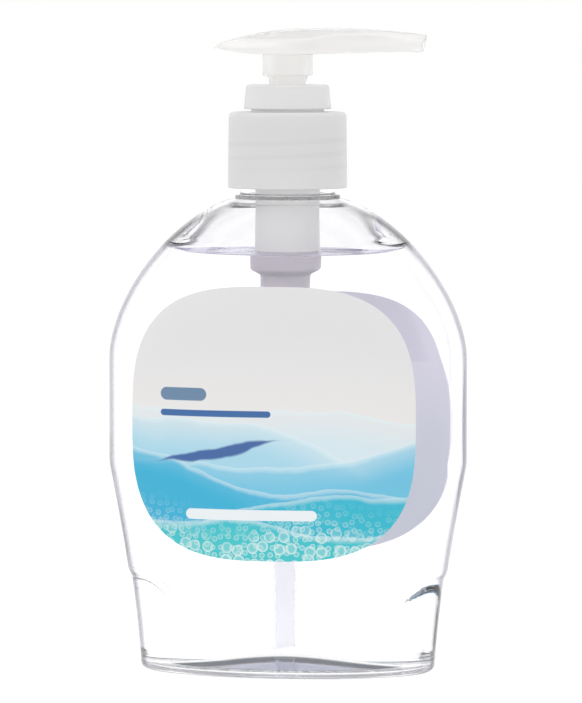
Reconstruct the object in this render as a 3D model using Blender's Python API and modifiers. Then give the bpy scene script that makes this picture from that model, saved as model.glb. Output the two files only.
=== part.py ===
"""Hand soap pump bottle: a flattened clear bottle with a screwed-on lotion pump.

Lengths are in metres and +Z is up. The origin is the middle of the base, the front label faces
-Y and the nozzle points along +X. The pump is pressed down and locked, as sold.
"""
import math

import bmesh
import bpy
from mathutils import Vector

# Fits between the pieces
CLEAR = 0.0003              # gap left between two pieces that touch
RUNNING = 0.0004            # radial play where one piece turns or slides in another

# Bottle body
BOTTLE_WIDTH = 0.0850
BOTTLE_DEPTH = 0.0420
BASE_WIDTH = 0.0710
BASE_DEPTH = 0.0375
WAIST_HEIGHT = 0.0490       # the widest part starts here
SHOULDER_HEIGHT = 0.0740    # and ends here
NECK_ROOT_HEIGHT = 0.1115   # the shoulder meets the neck
BOTTLE_WALL = 0.0009
BODY_ROUNDNESS = 2.2        # exponent of the body's section: 2 is an ellipse
FOOT_SWELL = 0.6            # share of the foot's widening that bulges; the rest is straight
SHOULDER_WIDE = (1.69, 1.46)    # fullness and sharpness of the shoulder, seen from the front
SHOULDER_DEEP = (2.4, 1.8)      # and from the side
BASE_CORNER = 0.0015        # rounding between base and side
CREASE_FRONT = 0.0128       # height of the foot's crease at the front and back
CREASE_SIDE = 0.0217        # and at the sides
CREASE_RISE = (0.50, 0.88)  # places across between which it climbs: 0 is the front, 1 a side
CREASE_FADE = (0.35, 0.75)  # and between which it comes out of the smooth front
CREASE_INSET = 0.0004       # how far the foot stands in below the crease at the sides
PUNT_WIDTH = 0.0520
PUNT_DEPTH = 0.0230
PUNT_HEIGHT = 0.0034

# Soap and labels
SOAP_LEVEL = 0.0985
FRONT_LABEL_SIZE = (0.0670, 0.0640)         # width and height
FRONT_LABEL_PLACE = (-0.0015, 0.0598)       # its middle, a little to the left, and its height
BACK_LABEL_SIZE = (0.0620, 0.0600)
BACK_LABEL_PLACE = (0.0, 0.0576)
LABEL_THICKNESS = 0.0002
LABEL_ROUNDNESS = 3.0       # exponent of the label's outline

# Pump, from the stem outwards
STEM_BORE = 0.0022
STEM_WALL = 0.0012
NOSE_WALL = 0.0007          # head's threaded nose, round the stem
GUIDE_WALL = 0.0011         # collar's guide tube, round the nose
GUIDE_TO_BARREL = 0.00085
BARREL_WALL = 0.0009
BARREL_TO_NECK = 0.0015
NECK_WALL = 0.00205
THREAD_SPACE = 0.00135      # room between neck and closure for the thread
CLOSURE_WALL = 0.0013
BEAD_PROUD = 0.0012
BEAD_HEIGHT = 0.0009

# Closure, gasket and collar heights
NECK_SHOWN = 0.0016         # neck seen between bead and closure
CLOSURE_HEIGHT = 0.0178
CLOSURE_TOP = 0.0012
CLOSURE_EDGE = 0.0009       # rounding of the closure's top edge
CLOSURE_FLARE = 0.0002      # how much wider the closure is at its foot
FLANGE_THICKNESS = 0.0012
GASKET_THICKNESS = 0.0008
COLLAR_GAP = 0.0007
COLLAR_HEIGHT = 0.0057
COLLAR_TOP = 0.0014
COLLAR_SKIRT = 0.00055
COLLAR_RIM = 0.0018         # how far the collar stands out past its skirt
COLLAR_DRAFT = 0.0006
COLLAR_EDGE = 0.0006        # bevel of the collar's top edge
GUIDE_LENGTH = 0.0181

# Piston, spring and valves
PUMP_STROKE = 0.0140
STOP_PROUD = 0.0007
STOP_THICKNESS = 0.0008
PISTON_HEIGHT = 0.0068
PISTON_LIP = 0.0012
FOOT_THICKNESS = 0.0009
SPRING_LENGTH = 0.0237
SPRING_RADIUS = 0.0039
SPRING_WIRE = 0.0007
SPRING_TURNS = 8
INLET_BALL_RADIUS = 0.0019
OUTLET_BALL_RADIUS = 0.0017
BALL_TRAVEL = 0.0015
INLET_HOLE = 0.0013
INLET_LIP = 0.0016          # radius of the lip that holds a ball in
OUTLET_HOLE = 0.0010
OUTLET_LIP = 0.0014
VALVE_LIP = 0.0008          # thickness of that lip
VALVE_ROOM = 0.0005         # space round the inlet ball
TUBE_RADIUS = 0.0028
TUBE_BORE = 0.0021
TUBE_SOCKET = 0.0070
SOCKET_WALL = 0.0010
SOCKET_ROOF = 0.0008
TUBE_TO_FLOOR = 0.0009

# Head
SLEEVE_GAP = 0.0021         # collar to sleeve, with the head down
SLEEVE_WALL = 0.0015
SLEEVE_HEIGHT = 0.00475
NOSE_TAPER = 0.0015
NOSE_DEPTH = 0.0048         # how far the nose reaches into the collar
HEAD_BACK = 0.0175          # axis to the tip behind
HEAD_FRONT = 0.0330         # axis to the nozzle's end
HEAD_WIDEST = 0.0020        # axis to the widest place
HEAD_HUMP = 0.0105          # axis to the highest place
HEAD_WIDTH = 0.0240
HEAD_ROUNDNESS = 2.2        # exponent of the outline behind the widest place
NOZZLE_WIDTH = 0.0088
NOZZLE_START = 0.0280       # axis to where the head has narrowed to the nozzle
NOZZLE_SLANT = 0.0012       # how far the nozzle's end leans back to its foot
HEAD_CREST = 0.00635        # lowest edge to the highest point of the top
CREST_FALL_BACK = 0.0043    # how far the top falls to the tip behind
CREST_FALL_FRONT = 0.00155  # and to the nozzle's end
HEAD_RIM = 0.0037           # lowest edge to the rim beside the thumb pad
RIM_FALL_BACK = 0.00165     # how far the rim falls to the tip
RIM_LEVEL_BACK = -0.0115    # axis to where that fall begins
RIM_LIFT = 0.00135          # how far the rim rises in front of the pad
RIM_LIFT_SPAN = (0.0040, 0.0140)
RIM_FALL_FRONT = 0.0015     # and falls again along the nozzle
RIM_FALL_SPAN = (0.0180, 0.0340)
FOOT_LIFT_BACK = 0.00175    # how far the lower edge rises to the tip
FOOT_LIFT_FRONT = 0.00075   # and to the nozzle's end
FOOT_LOWEST = 0.0030        # axis to the lowest place of that edge
HEAD_SKIRT = 0.00175        # depth of the hollow underneath
HEAD_WALL = 0.0010
RIB_WALL = 0.0006           # plastic under the nozzle's passage
NOZZLE_BORE = 0.0013
NOZZLE_MIDDLE = 0.00275     # lowest edge to the middle of the nozzle's passage

# Facets
TURNED_STEPS = 32
SMALL_STEPS = 20
BODY_POINTS = 48
SHOULDER_RINGS = 8
HEAD_STATIONS = 24


# Sizes that follow from the ones above
stem_radius = STEM_BORE + STEM_WALL
nose_bore = stem_radius + CLEAR
nose_radius = nose_bore + NOSE_WALL
guide_bore = nose_radius + RUNNING
guide_radius = guide_bore + GUIDE_WALL
barrel_bore = guide_radius + GUIDE_TO_BARREL
barrel_radius = barrel_bore + BARREL_WALL
neck_bore = barrel_radius + BARREL_TO_NECK
neck_radius = neck_bore + NECK_WALL
bead_radius = neck_radius + BEAD_PROUD
closure_bore = neck_radius + THREAD_SPACE
closure_radius = closure_bore + CLOSURE_WALL
skirt_bore = barrel_radius + CLEAR
skirt_radius = skirt_bore + COLLAR_SKIRT
collar_radius = skirt_radius + COLLAR_RIM
closure_hole = skirt_radius + RUNNING
sleeve_radius = nose_radius + SLEEVE_WALL

bead_top = NECK_ROOT_HEIGHT + BEAD_HEIGHT
closure_bottom = bead_top + NECK_SHOWN
closure_top = closure_bottom + CLOSURE_HEIGHT
flange_top = closure_top - CLOSURE_TOP - CLEAR
flange_bottom = flange_top - FLANGE_THICKNESS
gasket_top = flange_bottom - CLEAR
gasket_bottom = gasket_top - GASKET_THICKNESS
neck_lip = gasket_bottom - CLEAR
collar_bottom = closure_top + COLLAR_GAP
collar_top = collar_bottom + COLLAR_HEIGHT
housing_top = collar_top - COLLAR_TOP - CLEAR
guide_bottom = collar_top - COLLAR_TOP - GUIDE_LENGTH

stop_top = guide_bottom - PUMP_STROKE - CLEAR
piston_top = stop_top - STOP_THICKNESS - CLEAR
piston_bottom = piston_top - PISTON_HEIGHT
foot_top = piston_bottom - CLEAR
foot_bottom = foot_top - FOOT_THICKNESS
spring_top = foot_bottom - CLEAR
spring_bottom = spring_top - SPRING_LENGTH
spring_ledge = spring_bottom - CLEAR
spring_bore = SPRING_RADIUS + SPRING_WIRE / 2 + CLEAR
spring_barrel = spring_bore + BARREL_WALL

sleeve_bottom = collar_top + SLEEVE_GAP
nose_top = sleeve_bottom - NOSE_TAPER
nose_bottom = collar_top - NOSE_DEPTH
head_underside = sleeve_bottom + SLEEVE_HEIGHT
socket_radius = TUBE_RADIUS + CLEAR + SOCKET_WALL
punt_floor = PUNT_HEIGHT + BOTTLE_WALL
tube_bottom = punt_floor + TUBE_TO_FLOOR


def material(name, colour, roughness, transmission=0.0, ior=1.5):
    """A plain Principled material with the piece's colour."""
    new = bpy.data.materials.new(name)
    new.use_nodes = True
    shader = new.node_tree.nodes["Principled BSDF"]
    shader.inputs["Base Color"].default_value = (*colour, 1.0)
    shader.inputs["Roughness"].default_value = roughness
    shader.inputs["Transmission Weight"].default_value = transmission
    shader.inputs["IOR"].default_value = ior
    return new


def add_object(name, mesh, finish, smooth_angle=40):
    """Link a mesh to the part's collection under its node's name."""
    mesh.materials.append(finish)
    mesh.shade_smooth()
    mesh.set_sharp_from_angle(angle=math.radians(smooth_angle))
    new = bpy.data.objects.new(name, mesh)
    part.objects.link(new)
    return new


def lathe(name, profile, finish, steps=TURNED_STEPS):
    """Turn a closed profile of (radius, height) about the Z axis with a Screw modifier.

    The profile runs down its outer side and back up its inner side.
    """
    mesh = bpy.data.meshes.new(name)
    points = [(radius, 0.0, height) for radius, height in profile]
    edges = [(i, (i + 1) % len(points)) for i in range(len(points))]
    mesh.from_pydata(points, edges, [])
    turned = add_object(name, mesh, finish)
    screw = turned.modifiers.new("Turned", "SCREW")
    screw.steps = steps
    screw.render_steps = steps
    screw.use_merge_vertices = True
    screw.merge_threshold = 0.00001
    screw.use_smooth_shade = True
    return turned


def apply_modifiers(subject):
    """Give an object the mesh that its modifiers make of it."""
    bpy.context.view_layer.update()
    graph = bpy.context.evaluated_depsgraph_get()
    mesh = bpy.data.meshes.new_from_object(subject.evaluated_get(graph))
    subject.modifiers.clear()
    subject.data = mesh
    return subject


def cutter(subject):
    """Put an object aside as a cutter, drawn as wire and left out of the part."""
    apply_modifiers(subject)
    part.objects.unlink(subject)
    tools.objects.link(subject)
    subject.hide_render = True
    subject.display_type = "WIRE"
    return subject


def combine(subject, tool, operation):
    """Add a Boolean modifier that cuts or joins with a tool object."""
    boolean = subject.modifiers.new(tool.name, "BOOLEAN")
    boolean.operation = operation
    boolean.object = tool
    return subject


def loft(name, rings, finish, smooth_angle=40):
    """Skin a list of rings of equal length and close both ends with a fan."""
    bm = bmesh.new()
    loops = [[bm.verts.new(point) for point in ring] for ring in rings]
    count = len(rings[0])
    for lower, upper in zip(loops, loops[1:]):
        for i in range(count):
            j = (i + 1) % count
            bm.faces.new((lower[i], lower[j], upper[j], upper[i]))
    for ring, loop, facing in ((rings[0], loops[0], -1), (rings[-1], loops[-1], 1)):
        middle = sum((Vector(point) for point in ring), Vector()) / count
        hub = bm.verts.new(middle)
        for i in range(count):
            corners = (loop[i], loop[(i + 1) % count], hub)
            bm.faces.new(corners if facing > 0 else corners[::-1])
    bmesh.ops.recalc_face_normals(bm, faces=bm.faces)
    mesh = bpy.data.meshes.new(name)
    bm.to_mesh(mesh)
    bm.free()
    return add_object(name, mesh, finish, smooth_angle)


def signed_power(value, exponent):
    return math.copysign(abs(value) ** exponent, value)


def ease(value, span):
    """0 below a span and 1 above it, with a smooth rise between."""
    low, high = span
    share = min(max((value - low) / (high - low), 0.0), 1.0)
    return share * share * (3 - 2 * share)


def foot_curve(height):
    """0 at the base and 1 at the waist: how far the body has widened."""
    below = 1.0 - min(height / WAIST_HEIGHT, 1.0)
    return 1.0 - (FOOT_SWELL * math.sin(below * math.pi / 2) + (1.0 - FOOT_SWELL) * below)


def shoulder_curve(height, shape):
    """1 up to the shoulder's start and 0 at the neck's root."""
    fullness, sharpness = shape
    rise = max(height - SHOULDER_HEIGHT, 0.0) / (NECK_ROOT_HEIGHT - SHOULDER_HEIGHT)
    return (1.0 - min(rise, 1.0) ** fullness) ** (1.0 / sharpness)


def half_width(height):
    low = BASE_WIDTH / 2 + (BOTTLE_WIDTH - BASE_WIDTH) / 2 * foot_curve(height)
    return bead_radius + (low - bead_radius) * shoulder_curve(height, SHOULDER_WIDE)


def half_depth(height):
    low = BASE_DEPTH / 2 + (BOTTLE_DEPTH - BASE_DEPTH) / 2 * foot_curve(height)
    return bead_radius + (low - bead_radius) * shoulder_curve(height, SHOULDER_DEEP)


def roundness(height):
    """Exponent of the section: the body's own, easing to a true circle at the neck."""
    return 2.0 + (BODY_ROUNDNESS - 2.0) * shoulder_curve(height, (1.0, 1.0))


def section_points(exponent):
    """Places round a section of half width and half depth 1."""
    points = []
    for i in range(BODY_POINTS):
        angle = 2 * math.pi * i / BODY_POINTS
        points.append((signed_power(math.cos(angle), 2 / exponent), signed_power(math.sin(angle), 2 / exponent)))
    return points


def section_ring(width, depth, height, exponent):
    """One level ring of a section."""
    return [(width * across, depth * along, height) for across, along in section_points(exponent)]


def body_ring(height, inset=0.0, drop=0.0):
    """A ring of the body's surface, moved inwards and down."""
    return section_ring(half_width(height) - inset, half_depth(height) - inset,
                        height - drop, roundness(height))


def crease_height(across):
    """Height of the foot's crease, from its distance across: 0 at the front and 1 at a side."""
    return CREASE_FRONT + (CREASE_SIDE - CREASE_FRONT) * ease(abs(across), CREASE_RISE)


def foot_inset(across):
    """How far the foot stands in under the crease."""
    return CREASE_INSET * ease(abs(across), CREASE_FADE)


def foot_ring(share):
    """A ring of the foot, a share of the way from the base's corner up to the crease."""
    ring = []
    for across, along in section_points(BODY_ROUNDNESS):
        height = BASE_CORNER + (crease_height(across) - BASE_CORNER) * share
        inset = foot_inset(across)
        ring.append(((half_width(height) - inset) * across, (half_depth(height) - inset) * along, height))
    return ring


def flank_ring(share):
    """A ring of the body, a share of the way from the crease up to the waist."""
    ring = []
    for across, along in section_points(BODY_ROUNDNESS):
        height = crease_height(across) + (WAIST_HEIGHT - crease_height(across)) * share
        ring.append((half_width(height) * across, half_depth(height) * along, height))
    return ring


def corner_ring(turn):
    """A ring of the rounding between the base, at turn 0, and the side, at a quarter turn."""
    ring = []
    for across, along in section_points(BODY_ROUNDNESS):
        inset = BASE_CORNER * (1 - math.sin(turn)) + foot_inset(across)
        ring.append(((half_width(BASE_CORNER) - inset) * across, (half_depth(BASE_CORNER) - inset) * along,
                     BASE_CORNER * (1 - math.cos(turn))))
    return ring


def circle_ring(radius, height):
    return section_ring(radius, radius, height, 2.0)


def punt_rings(lift):
    """Rings of the pushed-up base, from its middle out to its edge."""
    rings = []
    for share in (0.15, 0.4, 0.62, 0.82, 1.0):
        rise = PUNT_HEIGHT * math.cos(share * math.pi / 2) ** 1.2
        rings.append(section_ring(PUNT_WIDTH / 2 * share, PUNT_DEPTH / 2 * share, rise + lift, 2.0))
    return rings


def shoulder_levels():
    """Heights up the shoulder, closer together towards the neck."""
    span = NECK_ROOT_HEIGHT - SHOULDER_HEIGHT
    return [SHOULDER_HEIGHT + span * math.sin(i / SHOULDER_RINGS * math.pi / 2)
            for i in range(SHOULDER_RINGS + 1)]


def wall_slope(height):
    """Outward and downward parts of the shoulder's surface normal."""
    step = 0.00005
    run = (half_width(height + step) - half_width(height - step)) / (2 * step)
    scale = math.hypot(1.0, run)
    return 1.0 / scale, -run / scale


def inner_body_rings(offset, floor, top=None):
    """Rings of the body's surface moved inwards by offset, from the floor's edge upwards."""
    corner = BASE_CORNER + offset / 2
    rings = [section_ring(BASE_WIDTH / 2 - corner, BASE_DEPTH / 2 - corner, floor, BODY_ROUNDNESS)]
    heights = [floor + (WAIST_HEIGHT - floor) * share for share in (0.06, 0.25, 0.5, 0.75, 1.0)]
    heights += shoulder_levels()[:-1]
    inset = offset + CREASE_INSET
    for height in heights:
        if height <= SHOULDER_HEIGHT:
            ring = body_ring(height, inset)
            level = height
        else:
            out, down = wall_slope(height)
            ring = body_ring(height, inset * out, inset * down)
            level = height - inset * down
        if top is not None and level >= top:
            break
        rings.append(ring)
    if top is not None:
        rings.append(body_ring(top, inset / wall_slope(top)[0]))
    return rings


def make_bottle():
    """Blown bottle: base, foot, flanks, shoulder, bead and neck outside, then down inside."""
    rings = punt_rings(0.0)
    rings += [corner_ring(math.radians(angle)) for angle in (0, 45, 90)]
    rings += [foot_ring(share) for share in (0.33, 0.66, 0.95)]
    rings += [flank_ring(share) for share in (0.02, 0.25, 0.5, 0.75, 1.0)]
    rings += [body_ring(height) for height in shoulder_levels()]
    rings += [circle_ring(bead_radius, bead_top), circle_ring(neck_radius, bead_top + CLEAR),
              circle_ring(neck_radius, neck_lip), circle_ring(neck_bore, neck_lip)]
    inside = inner_body_rings(BOTTLE_WALL, BOTTLE_WALL)
    inside.append(circle_ring(neck_bore, NECK_ROOT_HEIGHT - CLEAR))
    rings += inside[::-1]
    rings += punt_rings(BOTTLE_WALL)[::-1]
    pet = material("clear_pet", (0.96, 0.97, 0.99), 0.03, 0.95, 1.57)
    return loft("bottle", rings, pet, 50)


def make_soap():
    """The soap: the bottle's inside up to the fill level, less the room round the pump."""
    soap = material("lavender_soap", (0.86, 0.82, 0.93), 0.02, 0.9, 1.36)
    lift = BOTTLE_WALL + CLEAR
    rings = punt_rings(lift) + inner_body_rings(BOTTLE_WALL + CLEAR, lift, SOAP_LEVEL)
    rings.append(section_ring(half_width(SOAP_LEVEL) / 2, half_depth(SOAP_LEVEL) / 2, SOAP_LEVEL, 2.0))
    body = loft("liquid_soap", rings, soap, 50)
    wide = barrel_radius + CLEAR
    above = SOAP_LEVEL + CLEAR
    profile = [(0.0, above), (wide, above), (wide, wide_step_bottom - CLEAR),
               (spring_barrel + CLEAR, wide_step_bottom - CLEAR), (spring_barrel + CLEAR, valve_bottom - CLEAR),
               (socket_radius + CLEAR, valve_bottom - CLEAR), (socket_radius + CLEAR, socket_bottom - CLEAR),
               (TUBE_RADIUS + CLEAR, socket_bottom - CLEAR), (TUBE_RADIUS + CLEAR, tube_bottom - CLEAR),
               (0.0, tube_bottom - CLEAR)]
    room = cutter(lathe("pump_room", profile, soap, SMALL_STEPS))
    return combine(body, room, "DIFFERENCE")


def front_surface(across, height):
    """Distance of the body's surface in front of the axis, at a place across the label."""
    share = min(abs(across) / half_width(height), 0.999)
    exponent = roundness(height)
    return half_depth(height) * (1 - share ** exponent) ** (1 / exponent)


def make_label(name, size, place, facing, finish):
    """A film label: a rounded patch of the body's surface, lifted off it by the fit gap.

    place is how far its middle stands to the right of the axis and above the base, and facing
    is -1 at the front.
    """
    rings, segments = 6, 48
    width, tall = size
    middle, middle_height = place
    bm = bmesh.new()
    layers = []
    for lift in (CLEAR, CLEAR + LABEL_THICKNESS):
        middle_depth = front_surface(middle, middle_height) + lift
        hub = bm.verts.new((middle, facing * middle_depth, middle_height))
        loops = []
        for step in range(1, rings + 1):
            share = step / rings
            loop = []
            for i in range(segments):
                angle = 2 * math.pi * i / segments
                across = middle + width / 2 * share * signed_power(math.cos(angle), 2 / LABEL_ROUNDNESS)
                rise = tall / 2 * share * signed_power(math.sin(angle), 2 / LABEL_ROUNDNESS)
                height = middle_height + rise
                depth = front_surface(across, height) + lift
                loop.append(bm.verts.new((across, facing * depth, height)))
            loops.append(loop)
        layers.append((hub, loops))
    for hub, loops in layers:
        for i in range(segments):
            j = (i + 1) % segments
            bm.faces.new((hub, loops[0][i], loops[0][j]))
            for inner, outer in zip(loops, loops[1:]):
                bm.faces.new((inner[i], outer[i], outer[j], inner[j]))
    back_edge, front_edge = layers[0][1][-1], layers[1][1][-1]
    for i in range(segments):
        j = (i + 1) % segments
        bm.faces.new((back_edge[i], back_edge[j], front_edge[j], front_edge[i]))
    bmesh.ops.recalc_face_normals(bm, faces=bm.faces)
    mesh = bpy.data.meshes.new(name)
    bm.to_mesh(mesh)
    bm.free()
    return add_object(name, mesh, finish)


def make_closure(plastic):
    """Screw closure: a smooth cap with a rounded top edge and a hole for the collar's skirt."""
    profile = [(closure_hole, closure_top)]
    for angle in (0, 30, 60, 90):
        turn = math.radians(angle)
        profile.append((closure_radius - CLOSURE_EDGE * (1 - math.sin(turn)),
                        closure_top - CLOSURE_EDGE * (1 - math.cos(turn))))
    profile += [(closure_radius + CLOSURE_FLARE, closure_bottom), (closure_bore, closure_bottom),
                (closure_bore, closure_top - CLOSURE_TOP), (closure_hole, closure_top - CLOSURE_TOP)]
    return lathe("closure", profile, plastic)


def make_gasket():
    """Flat ring squeezed between the neck's lip and the housing's flange."""
    foam = material("gasket_foam", (0.82, 0.82, 0.80), 0.8)
    inner = barrel_radius + CLEAR
    profile = [(inner, gasket_top), (neck_radius, gasket_top), (neck_radius, gasket_bottom),
               (inner, gasket_bottom)]
    return lathe("neck_gasket", profile, foam)


def make_collar(plastic):
    """Locking collar: a cap over the housing's top, with the guide tube that stops the stem."""
    under = collar_top - COLLAR_TOP
    top_radius = collar_radius - COLLAR_DRAFT
    profile = [(guide_bore, collar_top), (top_radius - COLLAR_EDGE, collar_top),
               (top_radius, collar_top - COLLAR_EDGE), (collar_radius, collar_bottom),
               (skirt_radius, collar_bottom), (skirt_radius, flange_top + CLEAR),
               (skirt_bore, flange_top + CLEAR), (skirt_bore, under), (guide_radius, under),
               (guide_radius, guide_bottom), (guide_bore, guide_bottom)]
    return lathe("locking_collar", profile, plastic)


def ball_seat(hole, ball):
    """Height of a ball's centre over the hole of its 45 degree seat, resting with a gap."""
    return (ball + CLEAR) * math.sqrt(2) - hole


def ball_lip(ball, lip_radius):
    """Height over a ball's centre at which it meets a lip round its top."""
    return math.sqrt(ball ** 2 - lip_radius ** 2)


# The inlet valve hangs below the spring's ledge, and the tube's socket below that
inlet_room = INLET_BALL_RADIUS + VALVE_ROOM
inlet_lip_bottom = spring_ledge - VALVE_LIP
inlet_centre = inlet_lip_bottom - ball_lip(INLET_BALL_RADIUS, INLET_LIP) - CLEAR - BALL_TRAVEL
inlet_seat = inlet_centre - ball_seat(INLET_HOLE, INLET_BALL_RADIUS)
socket_top = inlet_seat - SOCKET_ROOF
socket_bottom = socket_top - TUBE_SOCKET
valve_bottom = socket_top - SOCKET_ROOF

# The outlet valve stands on the stem's foot
outlet_seat = foot_bottom + FOOT_THICKNESS
outlet_centre = outlet_seat + ball_seat(OUTLET_HOLE, OUTLET_BALL_RADIUS)
outlet_lip_bottom = outlet_centre + BALL_TRAVEL + ball_lip(OUTLET_BALL_RADIUS, OUTLET_LIP) + CLEAR

# The barrel narrows below the piston's foot
wide_bottom = foot_bottom - CLEAR
wide_step_top = wide_bottom - BARREL_WALL
wide_step_bottom = wide_step_top - (barrel_radius - spring_barrel) / 2


def make_housing(plastic):
    """Pump housing: flange, barrel, spring chamber, ball seat and the dip tube's socket."""
    profile = [(barrel_radius, housing_top), (barrel_radius, flange_top), (neck_radius, flange_top),
               (neck_radius, flange_bottom), (barrel_radius, flange_bottom), (barrel_radius, wide_step_top),
               (spring_barrel, wide_step_bottom), (spring_barrel, inlet_seat), (socket_radius, valve_bottom),
               (socket_radius, socket_bottom), (TUBE_RADIUS + CLEAR, socket_bottom),
               (TUBE_RADIUS + CLEAR, socket_top), (INLET_HOLE, socket_top), (INLET_HOLE, inlet_seat),
               (inlet_room, inlet_seat + inlet_room - INLET_HOLE), (inlet_room, inlet_lip_bottom),
               (INLET_LIP, inlet_lip_bottom), (INLET_LIP, spring_ledge), (spring_bore, spring_ledge),
               (spring_bore, wide_step_bottom), (barrel_bore, wide_bottom), (barrel_bore, housing_top)]
    return lathe("pump_housing", profile, plastic)


def make_tube(plastic):
    """Dip tube, pushed up into the housing's socket."""
    top = socket_top - CLEAR
    profile = [(TUBE_BORE, top), (TUBE_RADIUS, top), (TUBE_RADIUS, tube_bottom), (TUBE_BORE, tube_bottom)]
    return lathe("dip_tube", profile, plastic, SMALL_STEPS)


def make_ball(name, radius, height, finish):
    bm = bmesh.new()
    bmesh.ops.create_uvsphere(bm, u_segments=12, v_segments=8, radius=radius)
    mesh = bpy.data.meshes.new(name)
    bm.to_mesh(mesh)
    bm.free()
    ball = add_object(name, mesh, finish, 60)
    ball.location = (0.0, 0.0, height)
    return ball


def make_spring():
    """Compression spring: closed end turns on a ledge below and under the stem's foot above."""
    steel = material("spring_steel", (0.62, 0.63, 0.65), 0.3)
    steel.node_tree.nodes["Principled BSDF"].inputs["Metallic"].default_value = 1.0
    per_turn = 10
    count = per_turn * SPRING_TURNS + 1
    low = spring_bottom + SPRING_WIRE / 2
    high = spring_top - SPRING_WIRE / 2
    pitch_turns = SPRING_TURNS - 2
    curve = bpy.data.curves.new("return_spring", "CURVE")
    curve.dimensions = "3D"
    curve.bevel_depth = SPRING_WIRE / 2
    curve.bevel_resolution = 2
    curve.use_fill_caps = True
    spline = curve.splines.new("POLY")
    spline.points.add(count - 1)
    end_rise = SPRING_WIRE * 1.05
    climb = (high - low - 2 * end_rise) / pitch_turns
    for i in range(count):
        turn = i / per_turn
        if turn < 1:
            height = low + end_rise * turn
        elif turn > SPRING_TURNS - 1:
            height = high - end_rise * (SPRING_TURNS - turn)
        else:
            height = low + end_rise + climb * (turn - 1)
        angle = 2 * math.pi * turn
        spline.points[i].co = (SPRING_RADIUS * math.cos(angle), SPRING_RADIUS * math.sin(angle), height, 1.0)
    coil = bpy.data.objects.new("spring_path", curve)
    part.objects.link(coil)
    bpy.context.view_layer.update()
    graph = bpy.context.evaluated_depsgraph_get()
    mesh = bpy.data.meshes.new_from_object(coil.evaluated_get(graph))
    bpy.data.objects.remove(coil)
    bm = bmesh.new()
    bm.from_mesh(mesh)
    bmesh.ops.remove_doubles(bm, verts=bm.verts, dist=0.00001)
    bm.to_mesh(mesh)
    bm.free()
    return add_object("return_spring", mesh, steel)


def make_stem(plastic):
    """Hollow stem: its stop meets the guide tube, and its foot carries the piston and spring."""
    stop_radius = guide_bore + STOP_PROUD
    lip_top = outlet_lip_bottom + VALVE_LIP
    profile = [(STEM_BORE, stem_top), (stem_radius, stem_top), (stem_radius, stop_top), (stop_radius, stop_top),
               (stop_radius, stop_top - STOP_THICKNESS), (stem_radius, stop_top - STOP_THICKNESS),
               (stem_radius, foot_top), (stop_radius, foot_top), (stop_radius, foot_bottom),
               (OUTLET_HOLE, foot_bottom), (OUTLET_HOLE, outlet_seat),
               (STEM_BORE, outlet_seat + STEM_BORE - OUTLET_HOLE), (STEM_BORE, outlet_lip_bottom),
               (OUTLET_LIP, outlet_lip_bottom), (OUTLET_LIP, lip_top), (STEM_BORE, lip_top)]
    return lathe("stem", profile, plastic, SMALL_STEPS)


def make_piston():
    """Double-lipped cup seal between the stem's stop and foot."""
    seal = material("seal_pe", (0.90, 0.90, 0.88), 0.45)
    lip = barrel_bore - CLEAR
    waist = lip - PISTON_LIP * 2 / 3
    hub = lip - PISTON_LIP
    bore = stem_radius + CLEAR
    edge = lip - PISTON_LIP / 2
    dish = PISTON_LIP * 1.5
    profile = [(edge, piston_top), (lip, piston_top), (lip, piston_top - PISTON_LIP),
               (waist, piston_top - 2 * PISTON_LIP), (waist, piston_bottom + 2 * PISTON_LIP),
               (lip, piston_bottom + PISTON_LIP), (lip, piston_bottom), (edge, piston_bottom),
               (hub, piston_bottom + dish), (bore, piston_bottom + dish), (bore, piston_top - dish),
               (hub, piston_top - dish)]
    return lathe("piston_seal", profile, seal)


# The head's passage, from the stem's top to the nozzle
passage_height = head_underside + NOZZLE_MIDDLE
hollow_top = head_underside + HEAD_SKIRT
stem_top = head_underside + HEAD_SKIRT / 2
stem_socket_top = stem_top + CLEAR


def head_half_width(along):
    """Half the head's width at a place along it: a round back, narrowing to the nozzle."""
    if along < HEAD_WIDEST:
        share = min((HEAD_WIDEST - along) / (HEAD_WIDEST + HEAD_BACK), 1.0)
        return HEAD_WIDTH / 2 * math.sqrt(1 - share ** HEAD_ROUNDNESS)
    share = min((along - HEAD_WIDEST) / (NOZZLE_START - HEAD_WIDEST), 1.0)
    blend = 0.5 + 0.5 * math.cos(math.pi * share)
    return NOZZLE_WIDTH / 2 + (HEAD_WIDTH - NOZZLE_WIDTH) / 2 * blend


def head_crest(along):
    """Height of the top's middle: rises from the tip to the hump, and falls to the nozzle."""
    top = head_underside + HEAD_CREST
    if along < HEAD_HUMP:
        return top - CREST_FALL_BACK * ((HEAD_HUMP - along) / (HEAD_HUMP + HEAD_BACK)) ** 2.9
    return top - CREST_FALL_FRONT * ((along - HEAD_HUMP) / (HEAD_FRONT - HEAD_HUMP)) ** 2


def head_rim(along):
    """Height of the top's edge: level beside the thumb pad, higher in front of it."""
    behind = max(RIM_LEVEL_BACK - along, 0.0) / (HEAD_BACK + RIM_LEVEL_BACK)
    lift = RIM_LIFT * ease(along, RIM_LIFT_SPAN) - RIM_FALL_FRONT * ease(along, RIM_FALL_SPAN)
    return head_underside + HEAD_RIM - RIM_FALL_BACK * behind ** 2 + lift


def head_foot(along):
    """Height of the lower edge, which rises to both ends."""
    if along < FOOT_LOWEST:
        share = (FOOT_LOWEST - along) / (FOOT_LOWEST + HEAD_BACK)
        return head_underside + FOOT_LIFT_BACK * share ** 2.3
    share = min((along - FOOT_LOWEST) / (HEAD_FRONT - FOOT_LOWEST), 1.0)
    return head_underside + FOOT_LIFT_FRONT * math.sin(math.pi / 2 * share)


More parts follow.
